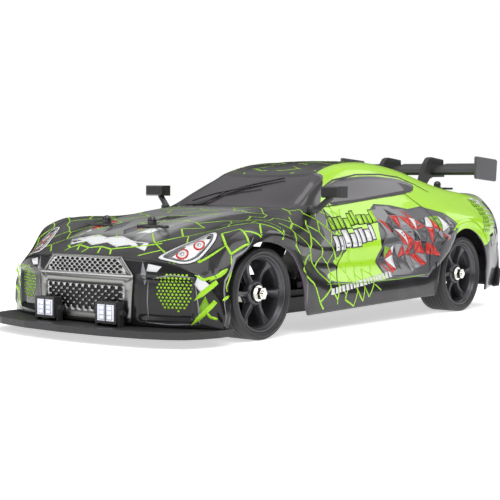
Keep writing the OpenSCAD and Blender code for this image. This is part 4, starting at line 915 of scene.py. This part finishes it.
def nose_prints_and_highlight():
    """Dots, chips and slashes on the front face and corners, and a painted highlight line ahead of each front
    wheel opening.
    """
    build = Build()
    # dotted patch beside the grille
    patch = np.array([[56, 43], [75, 46], [79, 41], [78, 26], [70, 20], [59, 22], [55, 30]])
    for row, z in enumerate(np.arange(21, 46, 2.05)):
        for y in np.arange(55 + (row % 2) * 1.2, 80, 2.4):
            if distance(patch, y, z) < -0.6:
                r = 0.86 - 0.012 * abs(y - 66)
                laid(build, (oval(y, z, r, r, 6, 0.5), [tuple(range(6))]), from_front, 0.06, lime)
    for outline, mat in (([[82, 44], [90, 36], [84, 32.5], [80, 38]], white),
                         ([[51, 50], [60, 48.5], [57, 45], [50, 45.5]], white),
                         ([[47, 51.5], [50, 44], [47.4, 36], [46, 43]], grey),
                         ([[82, 22], [86, 31], [88, 26], [86, 18]], moss)):
        laid(build, filled(outline, 1.6), from_front, 0.08, mat)
    for points, width in (([[50, 13], [49.4, 26], [50, 40]], 0.8), ([[53, 40.5], [66, 43.4], [80, 42]], 0.8),
                          ([[83, 13], [82.4, 24], [80.5, 38]], 0.8),
                          ([[50, 13.4], [66, 12.6], [82, 13.4]], 0.7)):
        laid(build, ribbon(points, width, (0.2, 0.2)), from_front, 0.1, grey)
    # tapered slashes round the front corner, in front of the wheel opening
    corner = lambda x, y: float(station_of(np.array([x]), np.array([y]))[0])
    for points, width, start in (([[80, 28], [86, 34], [92.5, 40]], 3.0, 0.05),
                                 ([[78, 12.5], [85, 20], [92, 28]], 2.8, 0.05),
                                 ([[86.5, 21], [89, 18], [92.5, 17]], 1.6, 0.8),
                                 ([[80, 44], [85, 41], [91, 43]], 1.6, 0.2)):
        laid(build, ribbon(points, width, (start, 1), 1.2), from_front, 0.14, lime)
    for points, width in (([[200.6, 40], [195, 43], [189, 47]], 1.6),
                          ([[200.6, 28], [197, 29.5], [194, 31]], 1.6)):
        laid(build, ribbon(points, width, (0.05, 0.25), 1.2), from_corner, 0.14, lime, True)
    # painted highlight: a grey line down the front corner, along the flare ahead of the wheel opening
    laid(build, ribbon([[corner(176, 95), 12], [corner(175.4, 95), 26], [corner(172, 92), 40],
                        [corner(162, 93), 54],
                        [corner(149, 94), 66]], 0.9, (0.2, 0.2), 1.5), from_corner, 0.12, grey, True)
    return build.mirrored().piece("nose_prints_and_highlight", PRINTS, "painted_lexan")


def hood_prints_and_highlights():
    """Shapes on the hood, painted highlights along its creases, the band of web lines above the grille, and
    the wiper.
    """
    build = Build()
    above = lambda outline, mat, lift=0.07: laid(build, filled(outline, 2.2), from_above, lift, mat)
    above([[182, -33], [190, -26], [187, -14], [191, -5], [187.5, 6], [191, 17], [187.5, 26], [189, 41],
           [181, 37], [183.5, 24], [180.5, 13], [183, 2], [180, -9], [183.5, -20]], white)
    above([[185, -30], [188, -24], [186, -18]], ash, 0.12)
    above([[184, 28], [187, 34], [182.8, 34.5]], ash, 0.12)
    for outline, mat in (([[152, 20], [160, 10], [172, 6], [178, 12], [168, 18], [162, 24]], ash),
                         ([[150, -6], [162, -12], [176, -8], [166, 0]], ash),
                         ([[133, 9], [148, 12], [143, 22], [128, 24]], black),
                         ([[150, -26], [159, -30], [171, -26], [166, -19], [153, -18]], red),
                         ([[152, 14], [160, 17], [170, 15], [163, 22]], red),
                         ([[164, 24], [176, 21], [171, 30], [161, 32]], white),
                         ([[166, -30], [178, -31], [174, -22]], white)):
        above(outline, mat)
    # painted highlights: light grey lines laid along the moulded hood creases
    for y in (1, -1):
        for points, width in (([[154, 34 * y], [137, 36 * y], [120, 37 * y], [98, 41 * y], [70, 47 * y]],
                               1.1),
                              ([[186, 26 * y], [172, 29 * y], [154, 34 * y]], 0.9)):
            laid(build, ribbon(points, width, (0.2, 0.2)), from_above, 0.1, grey)
    for points in ([[190, -28], [194, -22], [191, -16], [197, -12]], [[194, -22], [197, -24]],
                   [[191, -16], [194, -4], [199, -6]], [[194, -4], [192, 5], [199, 9]],
                   [[192, 5], [194, 16], [199, 20]], [[194, 16], [190, 27]],
                   [[190, 27], [184, 38], [178, 46]]):
        laid(build, ribbon(points, 1.3, (0.8, 0.8), 1.5), from_above, 0.1, lime)
    # wiper across the foot of the windscreen
    wiper = Build()
    for points, width, lift in (([[68, -24], [57, -20], [43, -14], [36, -4], [30, 6], [21, 24]], 1.6, 1.2),
                                ([[70, -30], [66, -25], [57, -20]], 2.4, 0.9),
                                ([[56, -36], [46, -20], [38, 2], [34, 12]], 0.9, 1.7)):
        laid(wiper, ribbon(points, width, (0.6, 0.3), 1.5), from_above, lift, 0, False, 0.5)
    wiper.piece("windscreen_wiper", [satin_black], "black_plastic")
    return build.piece("hood_prints_and_highlights", PRINTS, "painted_lexan")


def side_prints():
    """Bars, shards, hexagons and panel gaps on the side."""
    build = Build()
    side = lambda outline, mat, lift=0.08, h=2.4: laid(build, filled(outline, h), from_side, lift, mat, True)
    # two rows of plain slanted bars on the door, then a row of small ones along the sill
    rng = random.Random(11)
    for x, end, z, tall, climb, colour in ((37, -19, 67.5, 7.5, 0.09, lime),
                                           (44, -6, 53.5, 10.5, 0.13, white)):
        while x > end:
            w = rng.uniform(3.2, 6.2)
            low = z + (44 - x) * climb + rng.uniform(-1, 1)
            high = low + tall * rng.uniform(0.75, 1.15)
            bar = np.array([[x, low], [x - w, low + 0.3], [x - w - 2.6, high + 0.3], [x - 2.6, high]])
            middle = bar.mean(0)
            side(middle + (bar - middle) * [1.5, 1.2], black, 0.08)
            side(bar, colour, 0.15)
            x -= w + 1.9
    x = 60
    while x > -20:
        w = rng.uniform(2.2, 4.4)
        low = 24.5 + (60 - x) * 0.1
        side([[x, low], [x - w, low], [x - w - 1.2, low + 4.2], [x - 1.2, low + 4.2]], white, 0.12, 3)
        x -= w + 1.5
    # a patchwork of plain angular shards on the rear of the door and the quarter
    patch = np.array([[-19, 80], [-32, 86], [-50, 85], [-66, 82], [-82, 84], [-98, 79], [-108, 69],
                      [-104, 60], [-96, 49], [-86, 40], [-70, 30], [-52, 31], [-30, 31], [-14, 34], [-8, 44],
                      [-16, 56], [-24, 66]])
    side(patch, ash, 0.10)
    knots = {}
    for i in range(-14, 1):
        for k in range(2, 10):
            knots[i, k] = (i * 8.2 + 3 * (k % 2) + rng.uniform(-2.6, 2.6), k * 9.4 + rng.uniform(-2.8, 2.8))
    for i in range(-14, 0):
        for k in range(2, 9):
            a, b, c, d = knots[i, k], knots[i + 1, k], knots[i + 1, k + 1], knots[i, k + 1]
            for tri in ((a, b, c), (a, c, d)):
                tri = np.array(tri)
                roll = rng.random()
                if (distance(patch, tri[:, 0], tri[:, 1]) > 0.3).any() or roll > 0.93:
                    continue
                middle = tri.mean(0)
                others = (white, grey, ash, black, grey, black, ash, moss)
                mat = red if roll < 0.45 else others[int(rng.random() * 8)]
                side(middle + (tri - middle) * 0.93, mat, 0.17, 3)
    # tail: hexagons that fade out, and dark shards along the edge
    for row, z in enumerate(np.arange(64, 88, 3.4)):
        for k, x in enumerate(np.arange(-152 - (row % 2) * 2, -190, -4.0)):
            r = 1.9 - 0.12 * k
            side(oval(x, z, r, r, 6, 0.5), (moss, white, grey)[min(2, k // 4)], 0.1, 5)
    for outline, mat in (([[-186, 86], [-197, 88], [-200, 78], [-192, 74]], ash),
                         ([[-178, 66], [-192, 70], [-199, 60], [-188, 56]], ash),
                         ([[-166, 60], [-176, 62], [-184, 52], [-172, 50]], black),
                         ([[-190, 52], [-199, 54], [-200, 42], [-194, 40]], grey),
                         ([[-158, 90], [-166, 91], [-176, 86], [-164, 85]], white)):
        side(outline, mat)
    # door and panel gaps, sill edge and the roof rail
    for points, width, mat in (
            ([[30, 85], [34, 76], [31, 64], [36, 50], [44, 40], [50, 32]], 0.7, black),
            ([[-78, 94], [-84, 82], [-86, 66], [-78, 50], [-74, 34]], 0.7, black),
            ([[30, 84], [0, 86.5], [-40, 90.4], [-80, 94]], 0.9, black),
            ([[64, 32], [30, 30.6], [-30, 30.6], [-70, 32.5]], 0.6, moss),
            ([[22, 84], [16, 98.5], [2, 103.6], [-28, 108], [-60, 108.6], [-86, 106.6], [-102, 101],
              [-110, 95]],
             1.0, black)):
        laid(build, ribbon(points, width, (0.5, 0.5)), from_side, 0.22, mat, True)
    return build.mirrored().piece("side_prints", PRINTS, "painted_lexan")


def tail_lights():
    """Two round red lights a side, each in a black ring."""
    build = Build()
    for y in (62, 45):
        for r, mat, lift in ((8.2, black, 0.5), (7.2, red, 0.8), (4.6, ash, 1.1), (3.6, red, 1.4)):
            laid(build, filled(oval(y, 66, r, r * 0.92, 28), 2.4), from_rear, lift, mat, True, 0.2)
    return build.mirrored().piece("tail_lights", PRINTS, "lens")


headlights()
tail_lights()
nose_prints_and_highlight()
hood_prints_and_highlights()
side_prints()


# ---------------------------------------- grille
def grille():
    """Two plates with real holes in front of black, a bright bar between them and a brushed surround."""
    build = Build()
    mats = [grille_silver, trim_brushed, deep_black]
    front = lambda flat, lift, mat, half: laid(build, flat, from_front, lift, mat, False, half)
    surround = np.array([[-42, 42.6], [42, 42.6], [40, 13], [30, 11.6], [-30, 11.6], [-40, 13]])
    opening = np.array([[-36.5, 35.6], [36.5, 35.6], [35, 17.2], [-35, 17.2]])
    upper = np.array([[-37, 42.5], [37, 42.5], [30, 52.6], [-30, 52.6]])
    front(filled(np.array([[-39, 41], [39, 41], [37, 14], [-37, 14]]), 4), 0.25, 2, 0.15)
    front(filled(upper, 4), 0.25, 2, 0.15)
    holes = [oval(y, z, 2.15, 1.72, 12) for row, z in enumerate(np.arange(18.4, 36.6, 2.2))
             for y in np.arange(-34.8 + (row % 2) * 2.9, 34, 5.8) if distance(opening, y, z) < -1.75]
    front(perforated(opening, holes), 0.95, 0, 0.3)
    front(perforated(surround, [opening]), 1.25, 1, 0.6)
    holes = [oval(y, z, 1.75, 1.05, 10) for row, z in enumerate(np.arange(44.2, 52, 1.75))
             for y in np.arange(-34.5 + (row % 2) * 2.35, 36, 4.7) if distance(upper, y, z) < -1.3]
    front(perforated(upper, holes), 0.9, 0, 0.25)
    front(ribbon([[-42, 41.8], [0, 42.1], [42, 41.8]], 1.3), 1.9, 0, 0.5)
    front(ribbon([[-30.5, 53.1], [0, 53.4], [30.5, 53.1]], 1.6), 1.0, 1, 0.4)
    for y in (1, -1):
        front(ribbon([[41 * y, 41], [30.5 * y, 53.4]], 2.6), 1.0, 1, 0.4)
    return build.piece("grille_detail", mats, "grey_satin")


grille()


# ---------------------------------------- finishes of the parts kept from the frame
plate_black = material("plate_black", (0.03, 0.03, 0.032), rough=0.45, vary=0.2, grain=1300, bump=0.3)
case_black = material("case_black", (0.045, 0.045, 0.047), rough=0.5, vary=0.15, grain=1600, bump=0.25)
foam_black = material("foam_black", (0.05, 0.05, 0.052), rough=0.95, vary=0.3, grain=2600, bump=0.9,
                      depth=0.3,
                      spec=0.2)
pack_wrap = material("pack_wrap", (0.05, 0.12, 0.45), rough=0.3, coat=0.4, vary=0.12, grain=500)
strap_weave = material("strap_weave", (0.06, 0.06, 0.065), rough=0.85, vary=0.35, grain=3200, bump=0.8,
                       depth=0.15)
can_steel = brushed("can_steel", (0.62, 0.62, 0.63), 0)
lead_rubber = material("lead_rubber", (0.40, 0.025, 0.02), rough=0.5, vary=0.12, grain=1500)
nylon_white = material("nylon_white", (0.72, 0.72, 0.68), rough=0.45, vary=0.06, grain=1200)
gear_steel = material("gear_steel", (0.50, 0.49, 0.47), rough=0.3, metal=1.0, vary=0.12, grain=1800, bump=0.2)
alloy_turned = material("alloy_turned", (0.66, 0.67, 0.70), rough=0.25, metal=1.0, vary=0.1, grain=2200,
                        bump=0.15)
screw_steel = material("screw_steel", (0.20, 0.20, 0.21), rough=0.35, metal=0.9, vary=0.15, grain=2400,
                       bump=0.2)
spring_steel = material("spring_steel", (0.32, 0.33, 0.35), rough=0.3, metal=1.0, vary=0.1, grain=2400)
wing_grey = material("wing_grey", (0.10, 0.10, 0.108), rough=0.4, vary=0.12, grain=1100, bump=0.2)
clip_black = material("clip_black", (0.015, 0.015, 0.016), rough=0.25, coat=0.5, vary=0.1, grain=1500)
FINISHES = ((pack_wrap, "battery_pack"), (strap_weave, "battery_strap"), (clip_black, "body_clips"),
            (case_black, "body_posts esc_receiver gearbox_cases steering_knuckle arm_"),
            (inner_coat, "body_shell"), (lead_rubber, "cables"), (alloy_turned, "centre_shaft shock_body"),
            (plate_black, "chassis_plate front_splitter shock_towers steering_rack"),
            (satin_black, "door_mirrors lamp_housings steering_servo wing_blade wing_stays"),
            (gear_steel, "drive_shaft front_spool rear_spool motor_pinion shock_rod"),
            (foam_black, "front_bumper_foam"), (lamp_white, "lamp_lenses"), (can_steel, "motor_can"),
            (rim_satin, "rim_"), (screw_steel, "screws"), (nylon_white, "servo_horn spur_gear"),
            (spring_steel, "shock_spring"), (tyre_hard, "tyre_"), (nut_steel, "wheel_axle"),
            (wing_grey, "wing_end_plates"))


def finish_frame():
    """Gives each node kept from the frame its material, found by how its name starts."""
    for name, ob in nodes.items():
        mat = next(m for m, starts in FINISHES for start in starts.split() if name.startswith(start))
        if not ob.material_slots:
            ob.data.materials.append(mat)
        for place in ob.material_slots:
            place.material = mat


finish_frame()


# ---------------------------------------- lamps
def lamp_details():
    """Light chips in two columns behind each clear front, a stepped bezel round each column and a dark bar
    between the columns.
    """
    build = Build()

    def frustum(x0, x1, y, z, w, h, inset, mat):
        v = [(x, y + sy * (w - i) / 2, z + sz * (h - i) / 2) for x, i in ((x0, 0), (x1, inset))
             for sy, sz in ((-1, -1), (1, -1), (1, 1), (-1, 1))]
        build.add(v, [(3, 2, 1, 0), (4, 5, 6, 7), (0, 1, 5, 4), (1, 2, 6, 5), (2, 3, 7, 6), (3, 0, 4, 7)],
                  mat)

    low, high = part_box("lamp_lenses")
    face = high[0] / MM
    for y in (28, -28):
        for column in (-1, 1):
            frustum(face - 0.3, face + 0.25, y + column * 3.4, 19, 5.6, 9.4, 0.5, 1)
            for row in range(3):
                frustum(face + 0.2, face + 0.6, y + column * 3.4, 16 + row * 3, 3.4, 2.3, 0.7, 0)
        frustum(face - 0.3, face + 0.45, y, 19, 0.9, 10.5, 0.3, 2)
    return build.piece("lamp_chips", [lamp_white, lamp_chip, satin_black], "lens", shade=False)


lamp_details()


# ---------------------------------------- body clips
def clips():
    """R-shaped wire clips: a straight leg through the post and the bent leg and loop beside it."""
    bend = [[0, 12.8], [1.4, 15.2], [4.0, 15.6], [5.4, 13.4], [4.2, 10.5], [3.9, 6], [4.3, 3], [4.4, -3],
            [3.9, -6], [4.6, -9]]
    wire = 0.95
    build = Build()
    line = [[0, y] for y in np.arange(-9, 12.5, 1.5)] + rounded(bend, 5, False).tolist()
    for x, y, z in CLIPS:
        turn = 1 if y > 0 else -1
        build.add(*tube([(x + a, y + turn * b, z) for a, b in line], wire))
        head = [(HEAD_R * math.sin(a), z + 3.4 + HEAD_R * math.cos(a)) for a in np.linspace(0.02, 3.12, 14)]
        steps = 28
        ring = [(x + r * math.cos(b), y + r * math.sin(b), h) for r, h in head
                for b in np.arange(steps) * 2 * math.pi / steps]
        faces = [(k * steps + i, k * steps + (i + 1) % steps, (k + 1) * steps + (i + 1) % steps,
                  (k + 1) * steps + i)
                 for k in range(13) for i in range(steps)]
        build.add(ring, faces + [tuple(range(steps)), tuple(range(13 * steps, 14 * steps))[::-1]])
    return build.piece("clip_wires", [clip_black], "steel", "body_clips")


HEAD_R = 3.1      # the ball on top of each post
CLIPS = [(x, y * turn, z - 4) for x, y, z in ((161, 21, 76), (-183, 34.5, 102)) for turn in (1, -1)]
clips()

# ---------------------------------------- floor, light and camera
def stage():
    """Pale floor, soft world and four large lights."""
    m = material("floor_paper", (0.93, 0.93, 0.93), rough=0.95, vary=0.01, grain=60, bump=0.02, spec=0.0,
                 emit=0.62)
    half = 6.0
    me = bpy.data.meshes.new("floor")
    me.from_pydata([(-half, -half, 0), (half, -half, 0), (half, half, 0), (-half, half, 0)], [],
                   [(0, 1, 2, 3)])
    me.materials.append(m)
    ob = bpy.data.objects.new("floor", me)
    bpy.context.scene.collection.objects.link(ob)
    world = bpy.data.worlds.new("studio")
    bpy.context.scene.world = world
    world.use_nodes = True
    sky = world.node_tree.nodes["Background"]
    sky.inputs[1].default_value = 1.0
    height = add_node(world, "SeparateXYZ", _0=add_node(world, "TexCoord").outputs["Generated"])
    glow = add_node(world, "MapRange", Value=height.outputs["Z"], From_Min=0.12, From_Max=0.75, To_Min=0.03,
                    To_Max=0.62)
    glow.interpolation_type = "SMOOTHSTEP"
    seen = add_node(world, "LightPath").outputs["Is Camera Ray"]
    world.node_tree.links.new(blended(world, glow.outputs[0], (1, 1, 1), seen), sky.inputs[0])
    bpy.context.scene.view_settings.view_transform = "Standard"
    for name, place, size, power in (("key", (0.9, 0.9, 1.5), 1.0, 11), ("fill", (1.2, -0.7, 0.8), 0.8, 3),
                                     ("top", (-0.1, 0.0, 1.6), 1.2, 9), ("back", (-1.3, 0.6, 0.9), 0.7, 4)):
        light = bpy.data.lights.new(name, "AREA")
        light.size, light.energy = size, power
        o = bpy.data.objects.new(name, light)
        o.location = place
        o.rotation_mode = "QUATERNION"
        o.rotation_quaternion = (Vector((0, 0, 0.05)) - Vector(place)).to_track_quat("-Z", "Y")
        bpy.context.scene.collection.objects.link(o)


def camera():
    """Front left view, low and level."""
    data = bpy.data.cameras.new("camera")
    data.sensor_width, data.lens = 36, 89.8
    data.clip_start, data.clip_end = 0.05, 30
    o = bpy.data.objects.new("camera", data)
    ahead = Vector((-0.7787, -0.6254, -0.0497)).normalized()
    right = ahead.cross(Vector((0, 0, 1))).normalized()
    up = right.cross(ahead)
    roll = math.radians(0.367)
    r2, u2 = right * math.cos(roll) + up * math.sin(roll), up * math.cos(roll) - right * math.sin(roll)
    turned = Matrix((r2, u2, -ahead)).transposed().to_4x4()
    o.matrix_world = Matrix.Translation((0.7599, 0.5846, 0.0975)) @ turned
    bpy.context.scene.collection.objects.link(o)
    bpy.context.scene.camera = o


stage()
camera()
